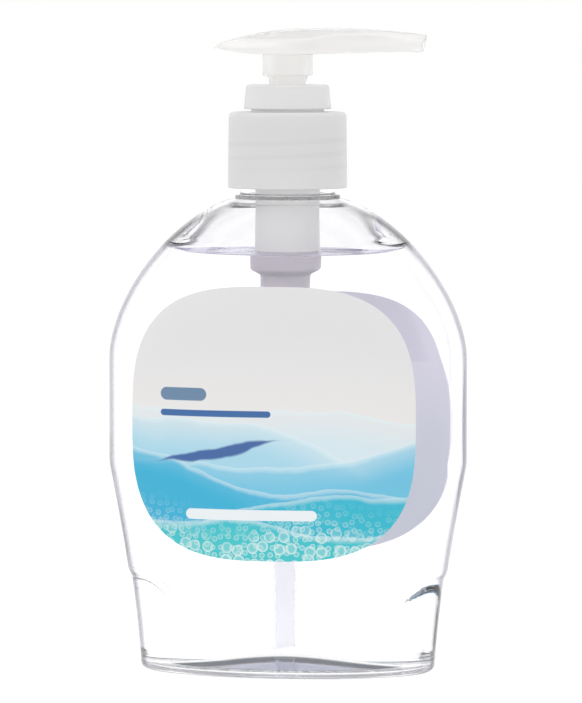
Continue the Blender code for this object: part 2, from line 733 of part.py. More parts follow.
def head_section(along, slant=0.0):
    """Outline of the head across, at a place along it. slant moves its foot back."""
    reach = max(head_half_width(along), CLEAR)
    low, crest = head_foot(along), head_crest(along)
    rim = max(head_rim(along), low + CLEAR)
    bevel = min(HEAD_WALL / 2, reach * 0.3, (rim - low) * 0.4)
    side = [(reach / 2, low), (reach, low), (reach, rim - bevel), (reach - bevel, rim)]
    side += [(reach * share, crest + (rim - crest) * share ** 2) for share in (0.72, 0.48, 0.24)]
    ring = [(0.0, low)] + side + [(0.0, crest)] + [(-across, level) for across, level in side[::-1]]
    return [(along - slant * (crest - level) / (crest - low), across, level) for across, level in ring]


def block(name, low, high, plastic):
    """A box between two corners."""
    bm = bmesh.new()
    bmesh.ops.create_cube(bm, size=1.0)
    bmesh.ops.scale(bm, vec=high - low, verts=bm.verts)
    bmesh.ops.translate(bm, vec=(low + high) / 2, verts=bm.verts)
    mesh = bpy.data.meshes.new(name)
    bm.to_mesh(mesh)
    bm.free()
    return add_object(name, mesh, plastic)


def level_bore(name, radius, start, end, height, plastic):
    """A cylinder along X."""
    bm = bmesh.new()
    bmesh.ops.create_cone(bm, cap_ends=True, segments=16, radius1=radius, radius2=radius, depth=end - start)
    quarter = Vector((0, 0, 1)).rotation_difference(Vector((1, 0, 0))).to_matrix()
    bmesh.ops.rotate(bm, matrix=quarter, verts=bm.verts)
    bmesh.ops.translate(bm, vec=((start + end) / 2, 0.0, height), verts=bm.verts)
    mesh = bpy.data.meshes.new(name)
    bm.to_mesh(mesh)
    bm.free()
    return add_object(name, mesh, plastic)


def head_hollow(plastic):
    """The room inside the head's skirt."""
    back = -HEAD_BACK * 0.86
    front = HEAD_FRONT - 2 * HEAD_WALL
    outline = []
    for i in range(HEAD_STATIONS + 1):
        along = back + (front - back) * i / HEAD_STATIONS
        outline.append((along, head_half_width(along) - HEAD_WALL))
    below = head_underside - HEAD_SKIRT
    ring = outline + [(along, -reach) for along, reach in outline[::-1]]
    return loft("head_hollow", [[(x, y, below) for x, y in ring], [(x, y, hollow_top) for x, y in ring]], plastic)


def make_head(plastic):
    """Actuator: a hollow thumb blade with a nozzle, and a sleeve and threaded nose for the stem."""
    rings = []
    for i in range(HEAD_STATIONS):
        along = -HEAD_BACK + (HEAD_BACK + HEAD_FRONT) * (i / HEAD_STATIONS) ** 1.25
        rings.append(head_section(max(along, CLEAR / 10 - HEAD_BACK), NOZZLE_SLANT * ease(along, RIM_FALL_SPAN)))
    rings.append(head_section(HEAD_FRONT, NOZZLE_SLANT))
    head = loft("pump_head", rings, plastic, 35)
    combine(head, cutter(head_hollow(plastic)), "DIFFERENCE")

    sleeve_top = hollow_top + HEAD_WALL / 2
    sleeve_profile = [(0.0, sleeve_top), (sleeve_radius, sleeve_top), (sleeve_radius, sleeve_bottom),
                      (nose_radius + NOSE_WALL, sleeve_bottom), (nose_radius, nose_top),
                      (nose_radius, nose_bottom), (0.0, nose_bottom)]
    combine(head, cutter(lathe("head_sleeve", sleeve_profile, plastic)), "UNION")

    rib_reach = NOZZLE_BORE + HEAD_WALL
    rib_low = Vector((0.0, -rib_reach, passage_height - NOZZLE_BORE - RIB_WALL))
    rib_high = Vector((HEAD_FRONT - HEAD_WALL - NOZZLE_SLANT, rib_reach, hollow_top + HEAD_WALL / 2))
    combine(head, cutter(block("head_rib", rib_low, rib_high, plastic)), "UNION")

    socket_profile = [(0.0, passage_height), (STEM_BORE, passage_height), (STEM_BORE, stem_socket_top),
                      (nose_bore, stem_socket_top), (nose_bore, nose_bottom - CLEAR), (0.0, nose_bottom - CLEAR)]
    combine(head, cutter(lathe("stem_socket", socket_profile, plastic, SMALL_STEPS)), "DIFFERENCE")
    bore = level_bore("nozzle_bore", NOZZLE_BORE, 0.0, HEAD_FRONT + CLEAR, passage_height, plastic)
    combine(head, cutter(bore), "DIFFERENCE")
    return head


for old in list(bpy.data.objects):
    bpy.data.objects.remove(old)
part = bpy.data.collections.new("hand_soap_pump_bottle")
tools = bpy.data.collections.new("cutters")
bpy.context.scene.collection.children.link(part)
bpy.context.scene.collection.children.link(tools)

frosted = material("frosted_polypropylene", (0.86, 0.86, 0.87), 0.35, 0.5, 1.49)
film = material("label_film", (0.88, 0.88, 0.90), 0.4)
film_back = material("label_film_back", (0.79, 0.78, 0.85), 0.4)
ball_steel = material("ball_steel", (0.75, 0.75, 0.76), 0.2)
ball_steel.node_tree.nodes["Principled BSDF"].inputs["Metallic"].default_value = 1.0

make_bottle()
make_soap()
make_label("front_label", FRONT_LABEL_SIZE, FRONT_LABEL_PLACE, -1, film)
make_label("back_label", BACK_LABEL_SIZE, BACK_LABEL_PLACE, 1, film_back)
make_closure(frosted)
make_gasket()
make_collar(frosted)
make_housing(frosted)
make_tube(frosted)
make_ball("inlet_ball", INLET_BALL_RADIUS, inlet_centre, ball_steel)
make_spring()
make_stem(frosted)
make_ball("outlet_ball", OUTLET_BALL_RADIUS, outlet_centre, ball_steel)
make_piston()
make_head(frosted)
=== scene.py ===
"""Looks of a hand soap pump bottle: each piece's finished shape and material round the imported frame.

Lengths are in metres. The bottle's front label faces -Y and the nozzle points along +X.
"""
import math

import bmesh
import bpy
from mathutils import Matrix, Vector


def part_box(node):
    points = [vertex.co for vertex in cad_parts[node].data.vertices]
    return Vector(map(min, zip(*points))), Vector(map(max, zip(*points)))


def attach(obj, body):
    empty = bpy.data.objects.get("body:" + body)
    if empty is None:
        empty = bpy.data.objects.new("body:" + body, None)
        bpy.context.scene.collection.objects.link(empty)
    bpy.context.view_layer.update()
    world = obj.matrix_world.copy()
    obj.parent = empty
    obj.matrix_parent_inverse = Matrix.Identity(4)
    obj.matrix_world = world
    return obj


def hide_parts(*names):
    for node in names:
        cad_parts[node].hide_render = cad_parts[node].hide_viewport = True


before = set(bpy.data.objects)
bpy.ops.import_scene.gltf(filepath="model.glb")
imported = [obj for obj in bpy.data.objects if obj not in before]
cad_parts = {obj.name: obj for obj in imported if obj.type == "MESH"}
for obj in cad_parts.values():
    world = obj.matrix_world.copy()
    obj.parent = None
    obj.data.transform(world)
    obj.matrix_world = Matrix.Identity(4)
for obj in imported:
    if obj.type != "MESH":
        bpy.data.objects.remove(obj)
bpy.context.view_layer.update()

# Camera
# It stands a little above the closure, a metre off, and sees the bottle turned slightly to its
# own right, so that the front label sits left of the middle. A long lens frames the whole.
PHOTO_HEIGHT = 703              # pixels
PIXELS_PER_METRE = 4238
camera_distance = 1.05
camera_height = 0.155
bottle_turn = math.radians(7.6)
aim_height = 0.0753
aim_side_pixels = -3.4

camera_data = bpy.data.cameras.new("camera")
camera = bpy.data.objects.new("camera", camera_data)
bpy.context.scene.collection.objects.link(camera)
bpy.context.scene.camera = camera
camera.location = (camera_distance * math.sin(bottle_turn), -camera_distance * math.cos(bottle_turn),
                   camera_height)
line_of_sight = Vector((0, 0, aim_height)) - camera.location
camera.rotation_euler = line_of_sight.to_track_quat("-Z", "Y").to_euler()
camera_data.sensor_width = 36.0
camera_data.lens = camera_data.sensor_width * PIXELS_PER_METRE * line_of_sight.length / PHOTO_HEIGHT
camera_data.shift_x = -aim_side_pixels / PHOTO_HEIGHT
camera_data.clip_end = 20.0

# Studio
# White all round at eye level, as a lit backdrop gives, with grey shade overhead and towards the
# viewer: clear plastic takes its edges from it and from shade painted at its rims. Lamps light the solid
# surfaces softly.
scene = bpy.context.scene
scene.view_settings.view_transform = "Standard"
scene.cycles.max_bounces = 24
scene.cycles.glossy_bounces = 12
scene.cycles.transmission_bounces = 24
scene.cycles.transparent_max_bounces = 16

AMBIENT_LIGHT = 1.0
SEEN_WHITE = (1.12, 1.12, 1.12)        # makes up for what clear walls turn back
ROOM_SHADE = (0.16, 0.16, 0.18)
CEILING_EDGES = (0.30, 0.55)            # upward part of a direction where the room's dark begins
FRONT_EDGES = (0.42, 0.60)              # the same for the part towards the viewer


def join(tree, start, end):
    tree.links.new(start, end)


def add_math(tree, operation, first, second=None, clamp=False):
    """A Math node fed by sockets or numbers; gives its output."""
    node = tree.nodes.new("ShaderNodeMath")
    node.operation = operation
    node.use_clamp = clamp
    for socket, value in zip(node.inputs, (first, second)):
        if value is None:
            continue
        if isinstance(value, (int, float)):
            socket.default_value = value
        else:
            join(tree, value, socket)
    return node.outputs[0]


def plus(tree, first, second):
    return add_math(tree, "ADD", first, second)


def minus(tree, first, second):
    return add_math(tree, "SUBTRACT", first, second)


def times(tree, first, second):
    return add_math(tree, "MULTIPLY", first, second)


def add_ramp(tree, value, low, high, start=0.0, end=1.0):
    """A smooth step of value from start to end between low and high."""
    node = tree.nodes.new("ShaderNodeMapRange")
    node.interpolation_type = "SMOOTHSTEP"
    for name, number in (("From Min", low), ("From Max", high), ("To Min", start), ("To Max", end)):
        node.inputs[name].default_value = number
    join(tree, value, node.inputs["Value"])
    return node.outputs["Result"]


def add_mix(tree, share, first, second):
    """A colour Mix node fed by sockets or colours; gives its output."""
    node = tree.nodes.new("ShaderNodeMix")
    node.data_type = "RGBA"
    for socket, value in ((node.inputs[0], share), (node.inputs[6], first), (node.inputs[7], second)):
        if isinstance(value, (int, float)):
            socket.default_value = value
        elif isinstance(value, tuple):
            socket.default_value = (*value, 1.0)
        else:
            join(tree, value, socket)
    return node.outputs[2]


def add_straight(tree, rays):
    """1 for a camera, glossy or transmission ray that has met nothing solid yet, 0 for light."""
    bent = add_math(tree, "MAXIMUM", rays.outputs["Is Glossy Ray"], rays.outputs["Is Transmission Ray"])
    kind = add_math(tree, "MAXIMUM", rays.outputs["Is Camera Ray"], bent)
    solid = add_math(tree, "MINIMUM", rays.outputs["Diffuse Depth"], 1.0)
    return times(tree, kind, minus(tree, 1.0, solid))


world = bpy.data.worlds.new("studio")
scene.world = world
world.use_nodes = True
sky = world.node_tree
sky.nodes.clear()
direction = sky.nodes.new("ShaderNodeTexCoord")
parts = sky.nodes.new("ShaderNodeSeparateXYZ")
join(sky, direction.outputs["Generated"], parts.inputs[0])
ceiling = add_ramp(sky, parts.outputs["Z"], *CEILING_EDGES)
front = add_ramp(sky, times(sky, parts.outputs["Y"], -1.0), *FRONT_EDGES)
seen_colour = add_mix(sky, add_math(sky, "MAXIMUM", ceiling, front), SEEN_WHITE, ROOM_SHADE)
seen = sky.nodes.new("ShaderNodeBackground")
join(sky, seen_colour, seen.inputs["Color"])
backdrop = sky.nodes.new("ShaderNodeBackground")
backdrop.inputs["Color"].default_value = (1.0, 1.0, 1.0, 1.0)
backdrop.inputs["Strength"].default_value = 1.0
lighting = sky.nodes.new("ShaderNodeBackground")
lighting.inputs["Color"].default_value = (1.0, 1.0, 1.0, 1.0)
lighting.inputs["Strength"].default_value = AMBIENT_LIGHT
rays = sky.nodes.new("ShaderNodeLightPath")
first_mix = sky.nodes.new("ShaderNodeMixShader")
join(sky, add_straight(sky, rays), first_mix.inputs[0])
join(sky, lighting.outputs[0], first_mix.inputs[1])
join(sky, seen.outputs[0], first_mix.inputs[2])
second_mix = sky.nodes.new("ShaderNodeMixShader")
join(sky, rays.outputs["Is Camera Ray"], second_mix.inputs[0])
join(sky, first_mix.outputs[0], second_mix.inputs[1])
join(sky, backdrop.outputs[0], second_mix.inputs[2])
world_out = sky.nodes.new("ShaderNodeOutputWorld")
join(sky, second_mix.outputs[0], world_out.inputs["Surface"])


def add_lamp(name, place, size, power):
    """A soft square lamp aimed at the bottle's middle, not seen in reflections."""
    lamp_data = bpy.data.lights.new(name, "AREA")
    lamp_data.energy = power
    lamp_data.size = size
    lamp = bpy.data.objects.new(name, lamp_data)
    scene.collection.objects.link(lamp)
    lamp.location = place
    lamp.rotation_euler = (Vector((0, 0, aim_height)) - lamp.location).to_track_quat("-Z", "Y").to_euler()
    lamp.visible_glossy = False
    lamp.visible_transmission = False


add_lamp("key_lamp", (-0.7, -0.9, 0.9), 0.7, 3.0)
add_lamp("fill_lamp", (0.9, -0.8, 0.5), 0.7, 1.5)
add_lamp("back_lamp", (0.3, 1.1, 0.9), 0.8, 2.0)

FLOOR_SIZE = 6.0
floor_mesh = bpy.data.meshes.new("floor")
floor_builder = bmesh.new()
bmesh.ops.create_grid(floor_builder, x_segments=1, y_segments=1, size=FLOOR_SIZE / 2)
floor_builder.to_mesh(floor_mesh)
floor_builder.free()
floor = bpy.data.objects.new("floor", floor_mesh)
scene.collection.objects.link(floor)
floor_paint = bpy.data.materials.new("floor_paint")
floor_paint.use_nodes = True
floor_tree = floor_paint.node_tree
floor_shader = floor_tree.nodes["Principled BSDF"]
floor_shader.inputs["Base Color"].default_value = (0.22, 0.22, 0.22, 1.0)
floor_shader.inputs["Roughness"].default_value = 1.0
floor_shader.inputs["Specular IOR Level"].default_value = 0.0
floor_rays = floor_tree.nodes.new("ShaderNodeLightPath")
FLOOR_GLOW, FLOOR_SEEN, FLOOR_BOUNCE = 0.80, 0.92, 0.35   # to the eye, through plastic, and as light
floor_shader.inputs["Emission Strength"].default_value = 1.0
floor_glow = add_mix(floor_tree, add_straight(floor_tree, floor_rays), (FLOOR_BOUNCE,) * 3, (FLOOR_SEEN,) * 3)
floor_glow = add_mix(floor_tree, floor_rays.outputs["Is Camera Ray"], floor_glow, (FLOOR_GLOW,) * 3)
join(floor_tree, floor_glow, floor_shader.inputs["Emission Color"])
floor_mesh.materials.append(floor_paint)

# Bottle
# Blown clear PET, one piece from its pushed-up base to its neck. The wall swells a little and
# the foot steps in under an arch at each side, where the label's panel ends.
bottle_low, bottle_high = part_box("bottle")
HALF_WIDTH = (bottle_high.x - bottle_low.x) / 2
HALF_DEPTH = (bottle_high.y - bottle_low.y) / 2
NECK_LIP = bottle_high.z
BASE_HALF_WIDTH, BASE_HALF_DEPTH = 0.0355, 0.01875
WAIST_HEIGHT, SHOULDER_HEIGHT, NECK_ROOT = 0.0490, 0.0740, 0.1115
BEAD_RADIUS, NECK_RADIUS, NECK_BORE = 0.0124, 0.0112, 0.00915
BEAD_HEIGHT = 0.0009
BOTTLE_WALL = 0.0009
BODY_ROUNDNESS = 2.2
BASE_CORNER = 0.0015
ARCH_FRONT, ARCH_SIDE = 0.0128, 0.0217
ARCH_STEP, ARCH_INSET = 0.0021, 0.0006
PUNT_HALF_WIDTH, PUNT_HALF_DEPTH, PUNT_HEIGHT = 0.0260, 0.0115, 0.0034
THREAD_PITCH, THREAD_DEPTH, THREAD_HALF_WIDTH = 0.0032, 0.0009, 0.0009
AROUND = 208                                   # points round the body


def ease(value, low, high):
    """0 below low and 1 above high, with a smooth rise between."""
    share = min(max((value - low) / (high - low), 0.0), 1.0)
    return share * share * (3 - 2 * share)


def signed_power(value, exponent):
    return math.copysign(abs(value) ** exponent, value)


def shoulder_curve(height, fullness, sharpness):
    """1 up to the shoulder's start and 0 at the neck's root."""
    rise = min(max(height - SHOULDER_HEIGHT, 0.0) / (NECK_ROOT - SHOULDER_HEIGHT), 1.0)
    return (1.0 - rise ** fullness) ** (1.0 / sharpness)


def body_size(height, at_base, at_waist, fullness, sharpness):
    """Half the body's width or depth at a height."""
    below = 1.0 - min(max(height, 0.0) / WAIST_HEIGHT, 1.0)
    widening = 1.0 - (0.6 * math.sin(below * math.pi / 2) + 0.4 * below)
    low = at_base + (at_waist - at_base) * widening
    return BEAD_RADIUS + (low - BEAD_RADIUS) * shoulder_curve(height, fullness, sharpness)


def half_width(height):
    return body_size(height, BASE_HALF_WIDTH, HALF_WIDTH, 1.69, 1.46)


def half_depth(height):
    return body_size(height, BASE_HALF_DEPTH, HALF_DEPTH, 2.4, 1.8)


def softened(size, height, reach=0.0012):
    """A size averaged over a short stretch of height, so that the waist has no hard corner."""
    if height > SHOULDER_HEIGHT + reach or height < BASE_CORNER + reach:
        return size(height)
    return sum(size(height + reach * step / 2) for step in range(-2, 3)) / 5


def section_exponent(height):
    return 2.0 + (BODY_ROUNDNESS - 2.0) * shoulder_curve(height, 1.0, 1.0)


def section_ring(width, depth, height, exponent, count=AROUND):
    """Points of a superellipse at one height."""
    ring = []
    for i in range(count):
        angle = 2 * math.pi * i / count
        ring.append((width * signed_power(math.cos(angle), 2 / exponent),
                     depth * signed_power(math.sin(angle), 2 / exponent), height))
    return ring


def arch_inset(height, across):
    """How far the foot stands in under the arch, at a height and a place across, -1 to 1."""
    side = ease(abs(across), 0.50, 0.88)
    arch = ARCH_FRONT + (ARCH_SIDE - ARCH_FRONT) * side
    return ARCH_INSET * ease(abs(across), 0.35, 0.75) * ease(arch + ARCH_STEP - height, 0.0, ARCH_STEP)


def wall_normal(height):
    """Outward and downward parts of the surface normal at the shoulder; level below it."""
    if height <= SHOULDER_HEIGHT:
        return 1.0, 0.0
    step = 0.00005
    slope = (half_width(height + step) - half_width(height - step)) / (2 * step)
    return 1.0 / math.hypot(1.0, slope), -slope / math.hypot(1.0, slope)


def body_ring(height, wall=0.0):
    """A ring of the body's surface, moved in by a wall along the surface's slope."""
    width, depth = softened(half_width, height), softened(half_depth, height)
    out, down = wall_normal(height) if wall else (1.0, 0.0)
    ring = []
    for x, y, z in section_ring(width - wall * out, depth - wall * out, height, section_exponent(height)):
        inset = arch_inset(height, x / width)
        ring.append((x * (1 - inset / width), y * (1 - inset / depth), z - wall * down))
    return ring


def inside_ring(level, wall):
    """The ring of the wall's inner side that lies at a level."""
    height = level
    for _ in range(8):
        height += level - (height - wall * wall_normal(height)[1])
    return body_ring(height, wall)


def punt_ring(share, lift):
    rise = PUNT_HEIGHT * math.cos(share * math.pi / 2) ** 1.2 if share < 1 else 0.0
    return section_ring(PUNT_HALF_WIDTH * share, PUNT_HALF_DEPTH * share, rise + lift, 2.0)


def thread_rise(height, angle, start, end):
    """Height of a right-handed thread over a turned surface, at a height and an angle."""
    turns = (height - start) / THREAD_PITCH - angle / (2 * math.pi)
    middle = start + THREAD_PITCH * (round(turns) + angle / (2 * math.pi))
    run_in = ease(height, start, start + THREAD_PITCH / 2) * ease(end - height, 0.0, THREAD_PITCH / 2)
    off = abs(height - middle) / THREAD_HALF_WIDTH
    return THREAD_DEPTH * run_in * max(1.0 - off ** 2, 0.0) ** 0.7


def round_ring(height, radius, thread=None, depth=1.0):
    """A circle about the pump's axis, with a share of the thread's depth where it passes."""
    ring = []
    for i in range(AROUND):
        angle = 2 * math.pi * i / AROUND
        reach = radius + (depth * thread_rise(height, angle, *thread) if thread else 0.0)
        ring.append((reach * math.cos(angle), reach * math.sin(angle), height))
    return ring


def spread(low, high, count):
    return [low + (high - low) * i / count for i in range(count + 1)]


def shoulder_levels(count):
    span = NECK_ROOT - SHOULDER_HEIGHT
    return [SHOULDER_HEIGHT + span * math.sin(i / count * math.pi / 2) for i in range(count + 1)]


def loft(name, rings, closed=False):
    """Skin rings of equal length. Open ends are closed with a fan, closed joins the last to the first."""
    builder = bmesh.new()
    loops = [[builder.verts.new(point) for point in ring] for ring in rings]
    count = len(rings[0])
    pairs = list(zip(loops, loops[1:])) + ([(loops[-1], loops[0])] if closed else [])
    for lower, upper in pairs:
        for i in range(count):
            j = (i + 1) % count
            builder.faces.new((lower[i], lower[j], upper[j], upper[i]))
    if not closed:
        for ring, loop in ((rings[0], loops[0]), (rings[-1], loops[-1])):
            hub = builder.verts.new(sum((Vector(point) for point in ring), Vector()) / count)
            for i in range(count):
                builder.faces.new((loop[i], loop[(i + 1) % count], hub))
    bmesh.ops.recalc_face_normals(builder, faces=builder.faces)
    mesh = bpy.data.meshes.new(name)
    builder.to_mesh(mesh)
    builder.free()
    return mesh


def paint_rings(mesh, count, rings, first, last, slot_index=1):
    """Give the faces above rings first to last of a loft, its end fan included, another finish."""
    for number, face in enumerate(mesh.polygons):
        ring, end = number // count, rings - 1
        if ring >= end:
            ring = 0 if ring == end else end
        if first <= ring <= last:
            face.material_index = slot_index


def add_piece(name, mesh, finish, body, node, sharp=50):
    """Show a mesh as a piece on a body, in place of a CAD node. finish is one material or more."""
    painted = [face.material_index for face in mesh.polygons]
    mesh.materials.clear()
    for material in finish if isinstance(finish, tuple) else (finish,):
        mesh.materials.append(material)
    mesh.polygons.foreach_set("material_index", painted)
    mesh.shade_smooth()
    mesh.set_sharp_from_angle(angle=math.radians(sharp))
    piece = bpy.data.objects.new(name, mesh)
    scene.collection.objects.link(piece)
    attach(piece, body)
    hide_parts(node)


def new_group(name, inputs, outputs):
    """An empty shader node group with float inputs and the outputs named with their types."""
    group = bpy.data.node_groups.new(name, "ShaderNodeTree")
    for label, default in inputs:
        socket = group.interface.new_socket(label, in_out="INPUT", socket_type="NodeSocketFloat")
        socket.default_value = default
    for label, kind in outputs:
        group.interface.new_socket(label, in_out="OUTPUT", socket_type=kind)
    return group, group.nodes.new("NodeGroupInput"), group.nodes.new("NodeGroupOutput")


def make_surface_unevenness():
    """Group: the slow waviness and fine haze of a moulded or blown plastic surface."""
    group, given, made = new_group(
        "surface_unevenness",
        [("Wave Size", 0.01), ("Haze Size", 0.0008), ("Roughness", 0.1), ("Roughness Swing", 0.05)],
        [("Height", "NodeSocketFloat"), ("Roughness", "NodeSocketFloat")])
    place = group.nodes.new("ShaderNodeTexCoord")
    wave = group.nodes.new("ShaderNodeTexNoise")
    haze = group.nodes.new("ShaderNodeTexNoise")
    for noise, label in ((wave, "Wave Size"), (haze, "Haze Size")):
        noise.inputs["Detail"].default_value = 2.0
        join(group, place.outputs["Object"], noise.inputs["Vector"])
        join(group, add_math(group, "DIVIDE", 1.0, given.outputs[label]), noise.inputs["Scale"])
    join(group, wave.outputs["Fac"], made.inputs["Height"])
    swing = times(group, minus(group, haze.outputs["Fac"], 0.5), given.outputs["Roughness Swing"])
    roughness = add_math(group, "ADD", given.outputs["Roughness"], swing, clamp=True)
    join(group, roughness, made.inputs["Roughness"])
    return group


surface_unevenness = make_surface_unevenness()


def plastic(name, colour, roughness, swing, wave_size, wave_depth, transmission=0.0, ior=1.5, metallic=0.0):
    """A plastic, liquid or metal whose surface has its own waviness and haze."""
    finish = bpy.data.materials.new(name)
    finish.use_nodes = True
    tree = finish.node_tree
    shader = tree.nodes["Principled BSDF"]
    shader.inputs["Base Color"].default_value = (*colour, 1.0)
    shader.inputs["Transmission Weight"].default_value = transmission
    shader.inputs["IOR"].default_value = ior
    shader.inputs["Metallic"].default_value = metallic
    uneven = tree.nodes.new("ShaderNodeGroup")
    uneven.node_tree = surface_unevenness
    uneven.inputs["Wave Size"].default_value = wave_size
    uneven.inputs["Roughness"].default_value = roughness
    uneven.inputs["Roughness Swing"].default_value = swing
    join(tree, uneven.outputs["Roughness"], shader.inputs["Roughness"])
    bump = tree.nodes.new("ShaderNodeBump")
    bump.inputs["Distance"].default_value = wave_depth
    join(tree, uneven.outputs["Height"], bump.inputs["Height"])
    join(tree, bump.outputs["Normal"], shader.inputs["Normal"])
    return finish


def let_light_in(finish, share=1.0):
    """Let a share of the light that falls on solid surfaces pass this one straight."""
    tree = finish.node_tree
    rays = tree.nodes.new("ShaderNodeLightPath")
    clear = tree.nodes.new("ShaderNodeBsdfTransparent")
    mix = tree.nodes.new("ShaderNodeMixShader")
    light = add_math(tree, "MAXIMUM", rays.outputs["Is Shadow Ray"], rays.outputs["Is Diffuse Ray"])
    join(tree, times(tree, light, share), mix.inputs[0])
    join(tree, tree.nodes["Principled BSDF"].outputs[0], mix.inputs[1])
    join(tree, clear.outputs[0], mix.inputs[2])
    join(tree, mix.outputs[0], tree.nodes["Material Output"].inputs["Surface"])


def paint_rim_shade(finish):
    """Painted shade: darken clear plastic's colour where it is seen edge on, for the dark edges a clear wall
    shows.

    It is strongest at the bottle's two ends along X, darkest in the gathered shoulder above the soap, and
    ends below the neck.
    """
    tree = finish.node_tree
    edge = tree.nodes.new("ShaderNodeLayerWeight")
    edge.inputs["Blend"].default_value = 0.5
    parts = tree.nodes.new("ShaderNodeSeparateXYZ")
    join(tree, tree.nodes.new("ShaderNodeTexCoord").outputs["Object"], parts.inputs[0])
    ends = add_ramp(tree, add_math(tree, "ABSOLUTE", parts.outputs["X"]), 0.010, 0.026, 0.3, 1.0)
    ends = times(tree, ends, add_ramp(tree, parts.outputs["Z"], *NECK_CLEARS, 1.0, 0.0))
    rim = times(tree, add_ramp(tree, edge.outputs["Facing"], *RIM_EDGES), ends)
    # Painted shade, deeper above the soap's edge in the thick gathered shoulder.
    thick = add_ramp(tree, parts.outputs["Z"], SOAP_LEVEL + CREEP_WALL, top_contact + 0.0004)
    shade = add_mix(tree, thick, RIM_SHADE, SHOULDER_PAINTED_SHADE)
    join(tree, add_mix(tree, rim, CLEAR_TINT, shade), tree.nodes["Principled BSDF"].inputs["Base Color"])


thread_span = (NECK_ROOT + 0.0055, NECK_LIP - 0.0012)
bottle_rings = [punt_ring(share, 0.0) for share in spread(0.05, 1.0, 24)]
for angle in spread(0.0, math.pi / 2, 8):
    inset = BASE_CORNER * (1 - math.sin(angle))
    bottle_rings.append([(x * (1 - inset / half_width(0)), y * (1 - inset / half_depth(0)),
                          BASE_CORNER * (1 - math.cos(angle))) for x, y, z in body_ring(BASE_CORNER)])
bottle_rings += [body_ring(height) for height in spread(BASE_CORNER, WAIST_HEIGHT + 0.002, 84)[1:]]
bottle_rings += [body_ring(height) for height in spread(WAIST_HEIGHT + 0.002, SHOULDER_HEIGHT, 12)[1:]]
bottle_rings += [body_ring(height) for height in shoulder_levels(56)[1:]]
bead_top = NECK_ROOT + BEAD_HEIGHT
for angle in spread(0.0, math.pi / 2, 5):
    bottle_rings.append(round_ring(bead_top - BEAD_HEIGHT / 2 * (1 - math.sin(angle)),
                                  BEAD_RADIUS - BEAD_HEIGHT / 2 * (1 - math.cos(angle))))
bottle_rings.append(round_ring(bead_top + 0.00005, NECK_RADIUS + 0.0002))
bottle_rings.append(round_ring(bead_top + 0.0003, NECK_RADIUS))
for height in spread(bead_top + 0.0006, NECK_LIP - 0.0004, 56):
    bottle_rings.append(round_ring(height, NECK_RADIUS, thread_span))
for height, radius in ((NECK_LIP - 0.0001, NECK_RADIUS - 0.0002), (NECK_LIP, NECK_RADIUS - 0.0005),
                       (NECK_LIP, NECK_BORE + 0.0003), (NECK_LIP - 0.0003, NECK_BORE)):
    bottle_rings.append(round_ring(height, radius))
bottle_rings += [round_ring(height, NECK_BORE) for height in spread(NECK_LIP - 0.0006, NECK_ROOT + 0.001, 6)]
SOAP_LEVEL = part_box("liquid_soap")[1].z
CREEP_CORNER, CREEP_WALL = 0.0014, 0.0006
SHOULDER_GATHER = 0.0016
INNER_CORNER = 0.0031


def contact_height(across):
    """Height at which the soap meets the wall, at a place across: it creeps up at the sides."""
    return SOAP_LEVEL + CREEP_WALL + CREEP_CORNER * abs(across) ** 5


def contact_ring(wall):
    """The ring along which the soap meets the inner side of the wall."""
    low, high = inside_ring(contact_height(0.0), wall), inside_ring(contact_height(1.0), wall)
    width = max(x for x, y, z in low)
    ring = []
    for start, end in zip(low, high):
        share = (contact_height(start[0] / width) - start[2]) / (end[2] - start[2])
        ring.append(tuple(a + (b - a) * share for a, b in zip(start, end)))
    return ring


def floor_rings(lift):
    """The inner side's rings from the middle of the pushed-up base out to the foot of the wall."""
    rings = [punt_ring(share, lift) for share in spread(0.05, 1.0, 24)]
    above = body_ring(INNER_CORNER + BOTTLE_WALL, lift)
    width, depth = max(x for x, y, z in above), max(y for x, y, z in above)
    for angle in spread(0.0, math.pi / 2, 8)[:-1]:
        sweep = INNER_CORNER * (1 - math.sin(angle))
        height = lift + (INNER_CORNER + BOTTLE_WALL - lift) * (1 - math.cos(angle))
        rings.append([(x * (1 - sweep / width), y * (1 - sweep / depth), height) for x, y, z in above])
    return rings


def wet_rings(wall):
    """The wetted side's rings from the middle of the base up to the soap's edge."""
    rings = floor_rings(wall)
    rings += [body_ring(height, wall) for height in spread(INNER_CORNER + BOTTLE_WALL, SHOULDER_HEIGHT, 60)]
    rings += [inside_ring(level, wall) for level in spread(SHOULDER_HEIGHT, SOAP_LEVEL, 34)[1:]]
    return rings + [contact_ring(wall)]


top_contact = contact_height(1.0)


def dry_ring(level):
    """The wall's inner side above the soap: thick at both ends of the shoulder, where plastic gathers."""
    rise = ease(level, top_contact, top_contact + 0.0016) * ease(NECK_ROOT - 0.0020 - level, 0.0, 0.0060)
    ring = inside_ring(level, BOTTLE_WALL)
    width = max(x for x, y, z in ring)
    return [(x - SHOULDER_GATHER * rise * signed_power(x / width, 5), y, z) for x, y, z in ring]


bottle_rings += [dry_ring(level) for level in spread(NECK_ROOT - 0.0016, top_contact + 0.0001, 36)]
first_wet = len(bottle_rings)
bottle_rings += wet_rings(BOTTLE_WALL)[::-1]
